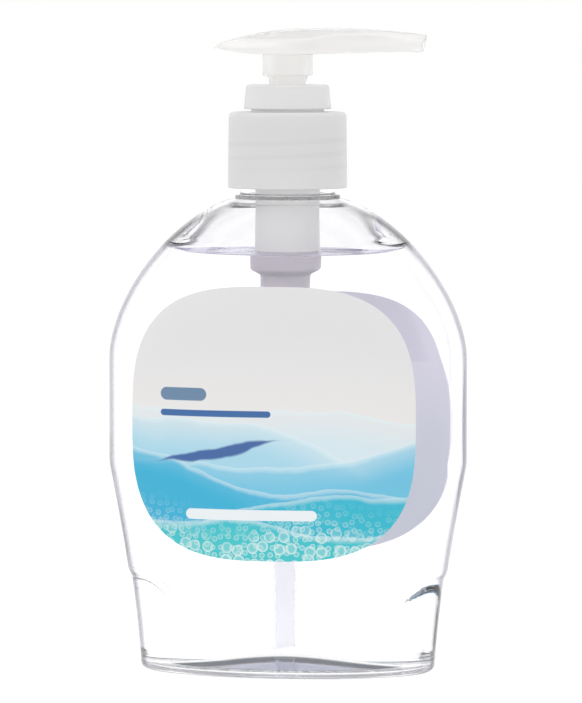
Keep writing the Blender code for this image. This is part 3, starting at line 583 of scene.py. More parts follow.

# Light bends at the wetted side of the wall by the ratio of the two indices: the soap's side
# itself then bends nothing.
# Painted shade for clear plastic seen edge on: the rim's below the soap's edge, a darker one in the shoulder
# above it.
CLEAR_TINT, RIM_SHADE, SHOULDER_PAINTED_SHADE = (0.998, 0.998, 1.0), (0.17, 0.165, 0.20), (0.030, 0.030, 0.036)
RIM_EDGES = (0.50, 0.70)                # how far edge on the shade begins and is full
NECK_CLEARS = (0.1070, 0.1100)          # heights over which it ends below the neck
PET_INDEX, SOAP_INDEX, PP_INDEX, PE_INDEX = 1.57, 1.36, 1.49, 1.51
BLOWN_SURFACE = (0.0, 0.0, 0.016, 0.00004)     # roughness and its swing, and the waves' size and depth
clear_pet = plastic("clear_pet", CLEAR_TINT, *BLOWN_SURFACE, transmission=1.0, ior=PET_INDEX)
wet_pet = plastic("wet_pet", (1.0, 1.0, 1.0), *BLOWN_SURFACE, transmission=1.0, ior=PET_INDEX / SOAP_INDEX)
# Painted shade at the clear wall's edges.
paint_rim_shade(clear_pet)
let_light_in(clear_pet)
let_light_in(wet_pet)
bottle_mesh = loft("bottle_body", bottle_rings)
paint_rings(bottle_mesh, AROUND, len(bottle_rings), first_wet, len(bottle_rings))
add_piece("bottle_body", bottle_mesh, (clear_pet, wet_pet), "bottle_body", "bottle")

# Soap
# Clear liquid with a faint lavender tint. It wets the wall all over, so its sides run a hair
# into the plastic, and it creeps up at the wall and most of all in the two narrow corners.
WETTING = 0.00004
CREEP_REACH = 0.0035
housing_low, housing_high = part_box("pump_housing")
BARREL_RADIUS, LOWER_BARREL_RADIUS, SOCKET_RADIUS, TUBE_RADIUS = 0.00765, 0.00545, 0.0041, 0.0028
BARREL_STEP, BARREL_STEP_HEIGHT = 0.0941, 0.0011
SOCKET_DEPTH, SOCKET_ROOF = 0.0070, 0.0008
socket_ceiling = housing_low.z + SOCKET_DEPTH
inlet_seat = socket_ceiling + SOCKET_ROOF
socket_shoulder = socket_ceiling - SOCKET_ROOF

soap_rings = wet_rings(BOTTLE_WALL - WETTING)
side_count = len(soap_rings)
soap_edge = soap_rings[-1]
width, depth = max(x for x, y, z in soap_edge), max(y for x, y, z in soap_edge)
for inset in (0.0002, 0.0005, 0.0009, 0.0014, 0.0020, 0.0027, CREEP_REACH, 0.0050):
    fade = max(1 - inset / CREEP_REACH, 0.0) ** 2.5
    across, back = 1 - inset / width, 1 - inset / depth
    soap_rings.append([(x * across, y * back, SOAP_LEVEL + (z - SOAP_LEVEL) * fade) for x, y, z in soap_edge])
hole = BARREL_RADIUS - WETTING
for reach, rise in ((0.0016, 0.0), (0.0009, 0.00008), (0.0004, 0.0003), (0.0, 0.0006)):
    soap_rings.append(round_ring(SOAP_LEVEL + rise, hole + reach))
top_count = len(soap_rings)
foot_level, tube_level = housing_low.z + WETTING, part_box("dip_tube")[0].z + WETTING
for radius, height in ((BARREL_RADIUS, BARREL_STEP), (LOWER_BARREL_RADIUS, BARREL_STEP - BARREL_STEP_HEIGHT),
                       (LOWER_BARREL_RADIUS, inlet_seat), (SOCKET_RADIUS, socket_shoulder),
                       (SOCKET_RADIUS, foot_level), (TUBE_RADIUS, foot_level), (TUBE_RADIUS, tube_level)):
    soap_rings.append(round_ring(height, radius - WETTING))
SOAP_TINT, SOAP_STRENGTH = (0.80, 0.72, 0.98), 1.0
soap_surface = plastic("soap_surface", (0.83, 0.82, 0.94), 0.0, 0.0, 0.03, 0.00001, transmission=1.0,
                       ior=SOAP_INDEX)
soap_side = plastic("soap_side", (1.0, 1.0, 1.0), 0.0, 0.0, 0.03, 0.0, transmission=1.0, ior=1.0)
for finish in (soap_surface, soap_side):
    let_light_in(finish)
    nodes = finish.node_tree.nodes
    tint = nodes.new("ShaderNodeVolumeAbsorption")
    tint.inputs["Color"].default_value = (*SOAP_TINT, 1.0)
    tint.inputs["Density"].default_value = SOAP_STRENGTH
    join(finish.node_tree, tint.outputs[0], nodes["Material Output"].inputs["Volume"])
soap_mesh = loft("soap", soap_rings)
paint_rings(soap_mesh, AROUND, len(soap_rings), side_count - 1, top_count - 2)
add_piece("soap", soap_mesh, (soap_side, soap_surface), "bottle_body", "liquid_soap")

# Labels
# Printed film, die-cut to rounded corners and stuck to the front and back. The front one sits a
# touch to the left. What the back one shows through the soap is its pale underside.
LABEL_FILM = 0.00008
LABEL_GLUE = -0.00003
LABEL_ROUNDNESS = 3.0


def front_surface(across, height):
    """Distance of the body's surface in front of the axis, at a place across and a height."""
    exponent = section_exponent(height)
    share = min(abs(across) / softened(half_width, height), 0.999)
    return softened(half_depth, height) * (1 - share ** exponent) ** (1 / exponent)


def label_patch(name, low, high, facing, rings=26, segments=168):
    """A rounded patch of film that follows the body's wall on the side that facing gives."""
    middle_x, middle_z = (low.x + high.x) / 2, (low.z + high.z) / 2
    half_x, half_z = (high.x - low.x) / 2, (high.z - low.z) / 2
    builder = bmesh.new()
    layers = []
    for lift in (LABEL_GLUE, LABEL_GLUE + LABEL_FILM):
        hub = builder.verts.new((middle_x, facing * (front_surface(middle_x, middle_z) + lift), middle_z))
        loops = []
        for step in range(1, rings + 1):
            reach = step / rings
            loop = []
            for across, up, _ in section_ring(half_x * reach, half_z * reach, 0.0, LABEL_ROUNDNESS, segments):
                x, z = middle_x + across, middle_z + up
                loop.append(builder.verts.new((x, facing * (front_surface(x, z) + lift), z)))
            loops.append(loop)
        layers.append((hub, loops))
    for hub, loops in layers:
        for i in range(segments):
            j = (i + 1) % segments
            builder.faces.new((hub, loops[0][i], loops[0][j]))
            for inner, outer in zip(loops, loops[1:]):
                builder.faces.new((inner[i], outer[i], outer[j], inner[j]))
    under, over = layers[0][1][-1], layers[1][1][-1]
    for i in range(segments):
        j = (i + 1) % segments
        builder.faces.new((under[i], under[j], over[j], over[i]))
    bmesh.ops.recalc_face_normals(builder, faces=builder.faces)
    mesh = bpy.data.meshes.new(name)
    builder.to_mesh(mesh)
    builder.free()
    return mesh


def add_shape(tree, x, z, place, half_size, corner, blur):
    """Mask of a rounded bar: 1 inside, 0 outside."""
    gaps = []
    for value, middle, half in ((x, place[0], half_size[0]), (z, place[1], half_size[1])):
        beyond = minus(tree, add_math(tree, "ABSOLUTE", minus(tree, value, middle)), half - corner)
        gaps.append(add_math(tree, "POWER", add_math(tree, "MAXIMUM", beyond, 0.0), 2.0))
    distance = add_math(tree, "SQRT", plus(tree, gaps[0], gaps[1]))
    return add_ramp(tree, distance, corner - blur, corner + blur, 1.0, 0.0)


def add_wave(tree, x, length, height, phase):
    """height times the sine of x over length, moved by phase."""
    turn = plus(tree, times(tree, x, 2 * math.pi / length), phase)
    return times(tree, add_math(tree, "SINE", turn), height)


# Each drift: height of its edge in the middle, slope across, wave length and height, phase,
# colour, how solid it is at its edge, and over what depth it fills in.
DRIFTS = (
    (62.0, -0.10, 88.0, 2.2, 0.4, (0.72, 0.85, 0.91), 0.30, 9.0),
    (56.0, -0.22, 61.0, 2.6, 2.1, (0.42, 0.72, 0.86), 0.35, 8.0),
    (51.5, 0.10, 74.0, 2.4, 4.0, (0.17, 0.58, 0.80), 0.55, 7.0),
    (46.0, -0.16, 52.0, 2.0, 5.2, (0.04, 0.47, 0.72), 0.60, 6.0),
    (40.5, 0.12, 66.0, 1.8, 1.0, (0.03, 0.52, 0.66), 0.70, 6.0),
    (35.5, -0.06, 47.0, 1.4, 3.1, (0.06, 0.60, 0.64), 0.60, 6.0),
)
PRINT_TOP, PRINT_MIDDLE = (0.805, 0.795, 0.805), (0.862, 0.850, 0.838)
RIBBON = (0.012, 0.075, 0.33)
BARS = (                       # place and half size in mm, colour: plain bars where words would be
    ((-22.0, 66.6), (5.6, 1.5), (0.155, 0.260, 0.400)),
    ((-14.4, 62.2), (13.2, 0.75), (0.045, 0.150, 0.390)),
    ((-6.0, 38.6), (15.5, 1.25), (0.90, 0.95, 0.97)),
)
# Each layer of discs: cells to the metre, heights where it begins and is full, size of a disc in
# its cell, and strength.
DISC_LAYERS = ((520.0, 44.0, 30.0, 0.36, 0.75), (300.0, 38.0, 31.0, 0.42, 0.85))
MILLIMETRE = 0.001


def print_place(tree):
    """Place across and height in the print, in millimetres, and the node that reads them."""
    place = tree.nodes.new("ShaderNodeTexCoord")
    parts = tree.nodes.new("ShaderNodeSeparateXYZ")
    join(tree, place.outputs["Object"], parts.inputs[0])
    x = add_math(tree, "DIVIDE", parts.outputs["X"], MILLIMETRE)
    z = add_math(tree, "DIVIDE", parts.outputs["Z"], MILLIMETRE)
    return x, z, place, parts


def paint_front_print(finish):
    """Print of the front label: pale above, with overlapping blue drifts and pale discs below."""
    tree = finish.node_tree
    x, z, place, parts = print_place(tree)
    colour = add_mix(tree, add_ramp(tree, z, 60.0, 84.0), PRINT_MIDDLE, PRINT_TOP)
    flow = tree.nodes.new("ShaderNodeTexNoise")
    flow.inputs["Scale"].default_value = 60.0
    flow.inputs["Detail"].default_value = 3.0
    join(tree, place.outputs["Object"], flow.inputs["Vector"])
    sway = times(tree, minus(tree, flow.outputs["Fac"], 0.5), 5.0)
    for level, slope, length, height, phase, shade, solid, depth in DRIFTS:
        slant = plus(tree, times(tree, x, slope), level)
        edge = plus(tree, add_wave(tree, x, length, height, phase), slant)
        below = plus(tree, minus(tree, edge, z), sway)
        share = times(tree, add_ramp(tree, below, 0.0, 0.5), add_ramp(tree, below, 0.0, depth, solid, 1.0))
        colour = add_mix(tree, share, colour, shade)
        crest = times(tree, add_ramp(tree, below, -0.15, 0.15), add_ramp(tree, below, 0.3, 1.6, 0.45, 0.0))
        colour = add_mix(tree, crest, colour, (0.80, 0.93, 0.97))
    strand = plus(tree, add_wave(tree, x, 96.0, 3.2, 1.2), 52.6)
    off = add_math(tree, "ABSOLUTE", minus(tree, z, plus(tree, strand, sway)))
    away = add_math(tree, "ABSOLUTE", plus(tree, x, 14.0))
    width = times(tree, add_ramp(tree, away, 4.0, 17.0, 1.0, 0.0), 1.5)
    ribbon = times(tree, add_ramp(tree, minus(tree, off, width), -0.6, 0.1, 1.0, 0.0), 0.9)
    colour = add_mix(tree, ribbon, colour, RIBBON)
    for scale, top, full, limit, strength in DISC_LAYERS:
        discs = tree.nodes.new("ShaderNodeTexVoronoi")
        discs.voronoi_dimensions = "2D"
        discs.inputs["Scale"].default_value = scale
        discs.inputs["Randomness"].default_value = 0.55
        flat = tree.nodes.new("ShaderNodeCombineXYZ")
        join(tree, parts.outputs["X"], flat.inputs["X"])
        join(tree, parts.outputs["Z"], flat.inputs["Y"])
        join(tree, flat.outputs[0], discs.inputs["Vector"])
        inside = add_ramp(tree, discs.outputs["Distance"], limit - 0.05, limit, 1.0, 0.0)
        rim = add_ramp(tree, discs.outputs["Distance"], limit * 0.45, limit, 0.25, 1.0)
        height = minus(tree, z, add_wave(tree, x, 40.0, 2.0, 0.6))
        reach = times(tree, add_ramp(tree, height, full, top, 1.0, 0.0), strength)
        share = times(tree, times(tree, inside, rim), reach)
        colour = add_mix(tree, share, colour, (0.80, 0.95, 0.93))
    for spot, half, shade in BARS:
        colour = add_mix(tree, add_shape(tree, x, z, spot, half, half[1], 0.08), colour, shade)
    join(tree, colour, tree.nodes["Principled BSDF"].inputs["Base Color"])


front_print = plastic("front_print", PRINT_MIDDLE, 0.32, 0.06, 0.012, 0.00001, ior=1.5)
paint_front_print(front_print)
BACK_GROUND = (0.90, 0.87, 0.96)
BACK_INK = (0.70, 0.68, 0.82)
# Each plain bar: its height, its left and right ends and half its width, in millimetres.
BACK_ROWS = (
    (80.0, -14.0, 14.0, 1.5), (75.6, -21.0, 20.0, 0.55), (73.4, -21.0, 18.0, 0.55), (71.2, -21.0, 21.0, 0.55),
    (69.0, -21.0, 6.0, 0.55), (64.6, -23.0, 23.0, 0.30), (60.6, -22.0, 12.0, 0.55), (58.4, -22.0, 21.0, 0.55),
    (56.2, -22.0, 19.0, 0.55), (54.0, -22.0, 22.0, 0.55), (51.8, -22.0, -2.0, 0.55),
    (47.4, -23.0, 23.0, 0.30), (43.4, -20.0, 16.0, 0.55), (41.2, -20.0, 19.0, 0.55), (39.0, -20.0, 9.0, 0.55),
    (34.4, -12.0, 12.0, 0.9))


def paint_back_print(finish):
    """Print of the back label: pale lavender, with faint rows of plain bars between thin rules."""
    tree = finish.node_tree
    x, z = print_place(tree)[:2]
    foot_ground = tuple(part * 0.97 for part in BACK_GROUND)
    colour = add_mix(tree, add_ramp(tree, z, 28.0, 88.0), foot_ground, BACK_GROUND)
    for height, left, right, half in BACK_ROWS:
        row = add_shape(tree, x, z, ((left + right) / 2, height), ((right - left) / 2, half), half, 0.08)
        colour = add_mix(tree, row, colour, BACK_INK)
    join(tree, colour, tree.nodes["Principled BSDF"].inputs["Base Color"])


back_print = plastic("back_print", BACK_GROUND, 0.40, 0.06, 0.012, 0.00001, ior=1.5)
paint_back_print(back_print)
for node, name, facing, ink, slot in (("front_label", "printed_front_label", -1, front_print, "label_film"),
                                      ("back_label", "printed_back_label", 1, back_print, "label_back")):
    low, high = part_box(node)
    add_piece(name, label_patch(name, low, high, facing), ink, "bottle_body", node)

# Pump housing
# One moulding: the flange that rests on the neck, the barrel, the narrower spring chamber, the
# ball's seat and the socket that grips the dip tube.
TURNED_POINTS = 128
FLANGE_RADIUS, FLANGE_TOP, FLANGE_BOTTOM = 0.0112, 0.1303, 0.1291
BARREL_BORE, SPRING_BORE, SPRING_LEDGE, BARREL_NARROWS = 0.00675, 0.00455, 0.0710, 0.0950
INLET_HOLE, INLET_LIP, INLET_ROOM = 0.00133, 0.0016, 0.0024
INLET_LIP_BOTTOM = 0.0702


def rounded(profile, steps=3):
    """A closed profile of (radius, height, corner size) with each corner rounded."""
    points = []
    for i, (radius, height, corner) in enumerate(profile):
        before, after = Vector(profile[i - 1][:2]), Vector(profile[(i + 1) % len(profile)][:2])
        here = Vector((radius, height))
        if corner == 0:
            points.append((radius, height))
            continue
        start = here + (before - here).normalized() * min(corner, (before - here).length * 0.45)
        end = here + (after - here).normalized() * min(corner, (after - here).length * 0.45)
        for step in range(steps + 1):
            share = step / steps
            point = start * (1 - share) ** 2 + here * 2 * share * (1 - share) + end * share ** 2
            points.append((point.x, point.y))
    return points


def circle(radius, height, count=TURNED_POINTS):
    return [(radius * math.cos(2 * math.pi * i / count), radius * math.sin(2 * math.pi * i / count), height)
            for i in range(count)]


def turned(name, profile, steps=3):
    """A mesh turned about the pump's axis from a closed profile with rounded corners."""
    return loft(name, [circle(radius, height) for radius, height in rounded(profile, steps)], closed=True)


EDGE = 0.00025                     # usual rounding of a moulded edge
wet_line = SOAP_LEVEL + CREEP_WALL
housing_outside = rounded([
    (BARREL_RADIUS, housing_high.z, EDGE), (BARREL_RADIUS, FLANGE_TOP, EDGE),
    (FLANGE_RADIUS, FLANGE_TOP, EDGE), (FLANGE_RADIUS, FLANGE_BOTTOM, EDGE),
    (BARREL_RADIUS, FLANGE_BOTTOM, EDGE), (BARREL_RADIUS, wet_line, 0),
    (BARREL_RADIUS, BARREL_STEP, 0.0006), (LOWER_BARREL_RADIUS, BARREL_STEP - BARREL_STEP_HEIGHT, 0.0004),
    (LOWER_BARREL_RADIUS, inlet_seat, 0.0004), (SOCKET_RADIUS, socket_shoulder, 0.0004),
    (SOCKET_RADIUS, housing_low.z, EDGE), (TUBE_RADIUS + 0.00004, housing_low.z, 0)])[1:]
housing_inside = [
    (TUBE_RADIUS + 0.00004, socket_ceiling), (INLET_HOLE, socket_ceiling), (INLET_HOLE, inlet_seat),
    (INLET_ROOM, inlet_seat + INLET_ROOM - INLET_HOLE), (INLET_ROOM, INLET_LIP_BOTTOM),
    (INLET_LIP, INLET_LIP_BOTTOM), (INLET_LIP, SPRING_LEDGE), (SPRING_BORE, SPRING_LEDGE),
    (SPRING_BORE, BARREL_NARROWS - 0.002),
    (BARREL_BORE, BARREL_NARROWS), (BARREL_BORE, housing_high.z)]
housing_points = housing_outside + housing_inside
housing_rings = [circle(radius, height) for radius, height in housing_points]
housing_mesh = loft("pump_cylinder", housing_rings, closed=True)
wet_start = next(i for i, point in enumerate(housing_points) if point[1] <= wet_line)
paint_rings(housing_mesh, TURNED_POINTS, len(housing_points) + 1, wet_start, len(housing_outside) - 2)
MOULDED = (0.08, 0.006, 0.00002)           # swing of the roughness, and the waves' size and depth
frosted_plastic = plastic("frosted_plastic", (0.995, 0.99, 0.99), 0.42, *MOULDED, transmission=0.35,
                          ior=PP_INDEX)
let_light_in(frosted_plastic, 0.6)
wet_plastic = plastic("wet_plastic", (0.85, 0.815, 0.85), 0.20, *MOULDED, transmission=0.30,
                      ior=PP_INDEX / SOAP_INDEX)
add_piece("pump_cylinder", housing_mesh, (frosted_plastic, wet_plastic), "pump_body", "pump_housing")

# Closure
# Natural polypropylene screw cap, smooth outside, with a rounded top edge and a slight flare to its
# foot. Its own thread showing through the wall is painted as faint slanting bands of shade.
closure_low, closure_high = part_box("closure")
CLOSURE_RADIUS = closure_high.x
CLOSURE_BORE, CLOSURE_HOLE, CLOSURE_CEILING = 0.01255, 0.0089, 0.1306
closure_threads = (closure_low.z + 0.0035, CLOSURE_CEILING - 0.0028)
CLOSURE_THREAD_DEPTH = 0.4                 # as a share of the neck thread's


def closure_rings():
    """Outer side from the hole down to the foot, then up the threaded bore."""
    outside = rounded([
        (CLOSURE_HOLE, CLOSURE_CEILING, 0), (CLOSURE_HOLE, closure_high.z, EDGE),
        (CLOSURE_RADIUS - 0.0002, closure_high.z, 0.0013), (CLOSURE_RADIUS, closure_low.z, EDGE),
        (CLOSURE_BORE + 0.0003, closure_low.z, EDGE), (CLOSURE_BORE, closure_low.z + 0.0006, EDGE)], 6)
    rings = [circle(radius, height, AROUND) for radius, height in outside]
    for height in spread(closure_low.z + 0.001, CLOSURE_CEILING - 0.0005, 72):
        rings.append(round_ring(height, CLOSURE_BORE, closure_threads, -CLOSURE_THREAD_DEPTH))
    return rings + [circle(CLOSURE_BORE - 0.0003, CLOSURE_CEILING, AROUND)]


def paint_edge_shade(finish, colour, shade):
    """Painted shade: a greyer line where translucent plastic is seen edge on."""
    tree = finish.node_tree
    edge = tree.nodes.new("ShaderNodeLayerWeight")
    edge.inputs["Blend"].default_value = 0.5
    rim = add_ramp(tree, edge.outputs["Facing"], 0.70, 0.93)
    join(tree, add_mix(tree, rim, colour, tuple(part * shade for part in colour)),
         tree.nodes["Principled BSDF"].inputs["Base Color"])


def paint_thread_shade_bands(finish, colour):
    """Painted shade: the inner thread seen faintly through the wall, as slanting bands a touch darker and
    lighter.
    """
    tree = finish.node_tree
    parts = tree.nodes.new("ShaderNodeSeparateXYZ")
    join(tree, tree.nodes.new("ShaderNodeTexCoord").outputs["Object"], parts.inputs[0])
    height = parts.outputs["Z"]
    angle = add_math(tree, "ARCTAN2", parts.outputs["Y"], parts.outputs["X"])
    turns = minus(tree, add_math(tree, "DIVIDE", height, THREAD_PITCH),
                  add_math(tree, "DIVIDE", angle, 2 * math.pi))
    wave = add_math(tree, "SINE", times(tree, turns, 2 * math.pi))
    first, last = closure_threads
    middle = times(tree, add_ramp(tree, height, first, first + 0.002),
                   add_ramp(tree, height, last - 0.002, last, 1.0, 0.0))
    share = times(tree, add_ramp(tree, wave, 0.2, 0.8), middle)
    shade = tuple(part * BAND_SHADE for part in colour)
    join(tree, add_mix(tree, share, colour, shade), tree.nodes["Principled BSDF"].inputs["Base Color"])


CAP_WHITE, BAND_SHADE = (0.885, 0.877, 0.880), 0.965
cap_plastic = plastic("cap_plastic", CAP_WHITE, 0.42, *MOULDED, transmission=0.35, ior=PP_INDEX)
# Painted shade: faint slanting bands where the inner thread shows through.
paint_thread_shade_bands(cap_plastic, CAP_WHITE)
let_light_in(cap_plastic, 0.4)
add_piece("screw_closure", loft("screw_closure", closure_rings(), closed=True), cap_plastic, "closure_body",
          "closure")

# Locking collar
# Snapped over the housing's top. Its guide tube stops the stem, and its drafted ring is what the
# head screws down into.
collar_low, collar_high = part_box("locking_collar")
COLLAR_RADIUS = collar_high.x
GUIDE_BORE, GUIDE_RADIUS, SKIRT_BORE, SKIRT_RADIUS = 0.0048, 0.0059, 0.00795, 0.0085
COLLAR_BOTTOM, COLLAR_PLATE = 0.1325, 0.0014
collar_profile = [
    (GUIDE_BORE, collar_high.z, EDGE), (COLLAR_RADIUS - 0.0006, collar_high.z, 0.0008),
    (COLLAR_RADIUS, COLLAR_BOTTOM, 0.0004), (SKIRT_RADIUS, COLLAR_BOTTOM, EDGE),
    (SKIRT_RADIUS, FLANGE_TOP + 0.0003, 0), (SKIRT_BORE, FLANGE_TOP + 0.0003, 0),
    (SKIRT_BORE, collar_high.z - COLLAR_PLATE, 0), (GUIDE_RADIUS, collar_high.z - COLLAR_PLATE, 0),
    (GUIDE_RADIUS, collar_low.z, EDGE), (GUIDE_BORE, collar_low.z, EDGE)]
COLLAR_WHITE = (0.925, 0.918, 0.920)
collar_plastic = plastic("collar_plastic", COLLAR_WHITE, 0.40, *MOULDED, transmission=0.40, ior=PP_INDEX)
# Painted shade along the collar's edges.
paint_edge_shade(collar_plastic, COLLAR_WHITE, 0.85)
let_light_in(collar_plastic, 0.5)
add_piece("lock_ring", turned("lock_ring", collar_profile), collar_plastic, "pump_body", "locking_collar")

# Head
# Natural polypropylene actuator: a thin crowned thumb blade with a skirt round it, drawn out
# into the nozzle, and below it the sleeve and the threaded nose that hold the stem.
head_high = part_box("pump_head")[1]
HEAD_TIP, HEAD_WIDEST, HEAD_HUMP, NOZZLE_END = -0.0175, 0.0020, 0.0105, head_high.x
HEAD_HALF_WIDTH, NOZZLE_HALF_WIDTH = 0.0120, 0.0044
CREST_TOP, RIM_LEVEL, UNDERSIDE, HEAD_CEILING = head_high.z, 0.14875, 0.14505, 0.1468
SLEEVE_RADIUS, SLEEVE_BOTTOM, SLEEVE_TOP, SLEEVE_THROAT = 0.0059, 0.1403, 0.1474, 0.0051
NOSE_TOP, NOSE_BOTTOM, NOSE_RADIUS, NOSE_BORE = 0.1388, 0.1334, 0.0044, 0.0037
SKIRT_WALL, NOZZLE_SLANT = 0.0008, 0.0012


def head_reach(x):
    """Half the head's width: a round back, narrowing in a long wave to the nozzle."""
    if x < HEAD_WIDEST:
        share = min((HEAD_WIDEST - x) / (HEAD_WIDEST - HEAD_TIP), 1.0)
        return HEAD_HALF_WIDTH * math.sqrt(1 - share ** 2.2)
    share = min((x - HEAD_WIDEST) / 0.026, 1.0)
    return NOZZLE_HALF_WIDTH + (HEAD_HALF_WIDTH - NOZZLE_HALF_WIDTH) * (0.5 + 0.5 * math.cos(math.pi * share))


def head_crest(x):
    if x < HEAD_HUMP:
        return CREST_TOP - 0.0043 * ((HEAD_HUMP - x) / (HEAD_HUMP - HEAD_TIP)) ** 2.9
    return CREST_TOP - 0.00155 * ((x - HEAD_HUMP) / (NOZZLE_END - HEAD_HUMP)) ** 2


def head_rim(x):
    """Height of the top's edge: level beside the thumb pad, lifted in front, lower at the ends."""
    behind = 0.00165 * (max(-0.0115 - x, 0.0) / 0.006) ** 2
    return RIM_LEVEL - behind + 0.00135 * ease(x, 0.004, 0.014) - 0.0015 * ease(x, 0.018, 0.034)


def head_foot(x):
    """Height of the skirt's lower edge."""
    if x < 0.003:
        return UNDERSIDE + 0.00175 * ((0.003 - x) / 0.0205) ** 2.3
    return UNDERSIDE + 0.00075 * math.sin(math.pi / 2 * min((x - 0.003) / 0.0286, 1.0))


def bend(start, corner, end, steps):
    """Points of a soft corner from start to end."""
    points = []
    for step in range(steps + 1):
        share = step / steps
        points.append(tuple(a * (1 - share) ** 2 + b * 2 * share * (1 - share) + c * share ** 2
                            for a, b, c in zip(start, corner, end)))
    return points


def head_half_section(x):
    """Half the head's section at x, as (out, up) points from under the middle round to its top."""
    reach, foot, crest = head_reach(x), head_foot(x), head_crest(x)
    rim = max(head_rim(x), foot + 0.0003)
    hollow = ease(x, HEAD_TIP + 0.0008, HEAD_TIP + 0.0030) * ease(NOZZLE_END - 0.0012 - x, 0.0, 0.0015)
    ceiling = foot + 0.00004 + max(HEAD_CEILING - foot, 0.0) * hollow
    ceiling = min(ceiling, rim - 0.0004) if rim - 0.0004 > foot else foot + 0.00002
    room = max(reach - SKIRT_WALL, reach * 0.3)
    edge = min(SKIRT_WALL / 4, reach / 6)
    fillet = min(0.0005, room / 3)
    lip = min(0.0006, reach / 3)
    side = max(rim - lip, foot + (rim - foot) * 0.4)
    points = [(room * share, ceiling) for share in spread(0.0, 1.0 - fillet / room, 10)]
    points += bend((room - fillet, ceiling), (room, ceiling), (room, ceiling - (ceiling - foot) / 3), 3)[1:]
    turn = foot + edge
    low = (room + reach) / 2, foot
    points += bend((room, foot + (ceiling - foot) / 4), low, (reach - edge / 2, turn), 4)
    points += [(reach - edge / 2 * (1 - share), turn + (side - turn) * share) for share in (0.35, 0.7, 1.0)]
    inner = reach - lip
    top = [(inner * share, crest + (rim - crest) * (inner * share / reach) ** 2)
           for share in spread(1.0, 0.0, 16)]
    return points + bend((reach, side), (reach, rim), top[0], 5)[1:] + top[1:]


def head_ring(x):
    half = head_half_section(x)
    crest, foot = head_crest(x), head_foot(x)
    slant = NOZZLE_SLANT * ease(x, 0.018, NOZZLE_END)
    outline = [(out, up) for out, up in half] + [(-out, up) for out, up in half[-2:0:-1]]
    return [(x - slant * (crest - up) / (crest - foot), out, up) for out, up in outline]


stations = [HEAD_TIP + 0.00001 + (HEAD_WIDEST - HEAD_TIP) * (1 - math.cos(angle))
            for angle in spread(0.0, math.pi / 2, 56)]
stations += spread(HEAD_WIDEST, NOZZLE_END - 0.0003, 96)[1:]
blade = bpy.data.objects.new("actuator", loft("actuator", [head_ring(x) for x in stations]))
scene.collection.objects.link(blade)


def combine(subject, tool_mesh, operation):
    """Join or cut a mesh with another, and keep the result."""
    tool = bpy.data.objects.new("tool", tool_mesh)
    scene.collection.objects.link(tool)
    boolean = subject.modifiers.new("boolean", "BOOLEAN")
    boolean.operation = operation
    boolean.object = tool
    graph = bpy.context.evaluated_depsgraph_get()
    mesh = bpy.data.meshes.new_from_object(subject.evaluated_get(graph))
    subject.modifiers.clear()
    subject.data = mesh
    bpy.data.objects.remove(tool)


def rod(radius, start, end, height, count=48):
    """A closed cylinder along X."""
    rings = []
    for x in spread(start, end, 8):
        rings.append([(x, across, height + up) for across, up, _ in circle(radius, 0.0, count)])
    return loft("rod", rings)


PASSAGE_HEIGHT, PASSAGE_RADIUS, PASSAGE_WALL = 0.1482, 0.00115, 0.0006
NOSE_THREAD, NOSE_THREAD_DEPTH = (NOSE_BOTTOM + 0.0006, NOSE_TOP - 0.0004), 0.35
CORE_RADIUS = 0.0005                       # closes the middle of the sleeve before its bore is cut
nose = [circle(CORE_RADIUS, NOSE_BOTTOM, AROUND), circle(NOSE_RADIUS - 0.0002, NOSE_BOTTOM, AROUND)]
for height in spread(NOSE_BOTTOM + 0.0002, NOSE_TOP, 40):
    nose.append(round_ring(height, NOSE_RADIUS, NOSE_THREAD, NOSE_THREAD_DEPTH))
sleeve_rings = rounded([(SLEEVE_THROAT, SLEEVE_BOTTOM, 0.0003), (SLEEVE_RADIUS, SLEEVE_BOTTOM, 0.0003),
                        (SLEEVE_RADIUS, SLEEVE_TOP, 0), (CORE_RADIUS, SLEEVE_TOP, 0)])
nose += [circle(radius, height, AROUND) for radius, height in sleeve_rings]
combine(blade, loft("sleeve", nose), "UNION")
combine(blade, rod(PASSAGE_RADIUS + PASSAGE_WALL, 0.0, NOZZLE_END - 0.003, PASSAGE_HEIGHT), "UNION")
STEM_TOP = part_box("stem")[1].z
SOCKET_THROAT = 0.0022
socket = [circle(radius, height) for radius, height in (
    (0.0001, NOSE_BOTTOM - 0.001), (NOSE_BORE, NOSE_BOTTOM - 0.001), (NOSE_BORE, STEM_TOP + 0.0002),
    (SOCKET_THROAT, STEM_TOP + 0.0002), (SOCKET_THROAT, PASSAGE_HEIGHT), (0.0001, PASSAGE_HEIGHT))]
combine(blade, loft("socket", socket), "DIFFERENCE")
combine(blade, rod(PASSAGE_RADIUS, 0.0, NOZZLE_END + 0.002, PASSAGE_HEIGHT), "DIFFERENCE")
actuator_mesh = blade.data.copy()
bpy.data.objects.remove(blade)
NATURAL = (0.980, 0.973, 0.962)
natural_plastic = plastic("natural_plastic", NATURAL, 0.24, *MOULDED, transmission=0.6, ior=PP_INDEX)
# Painted shade along the edges of the head and stem.
paint_edge_shade(natural_plastic, NATURAL, 0.72)
let_light_in(natural_plastic, 0.85)
add_piece("actuator", actuator_mesh, natural_plastic, "head_body", "pump_head", 40)

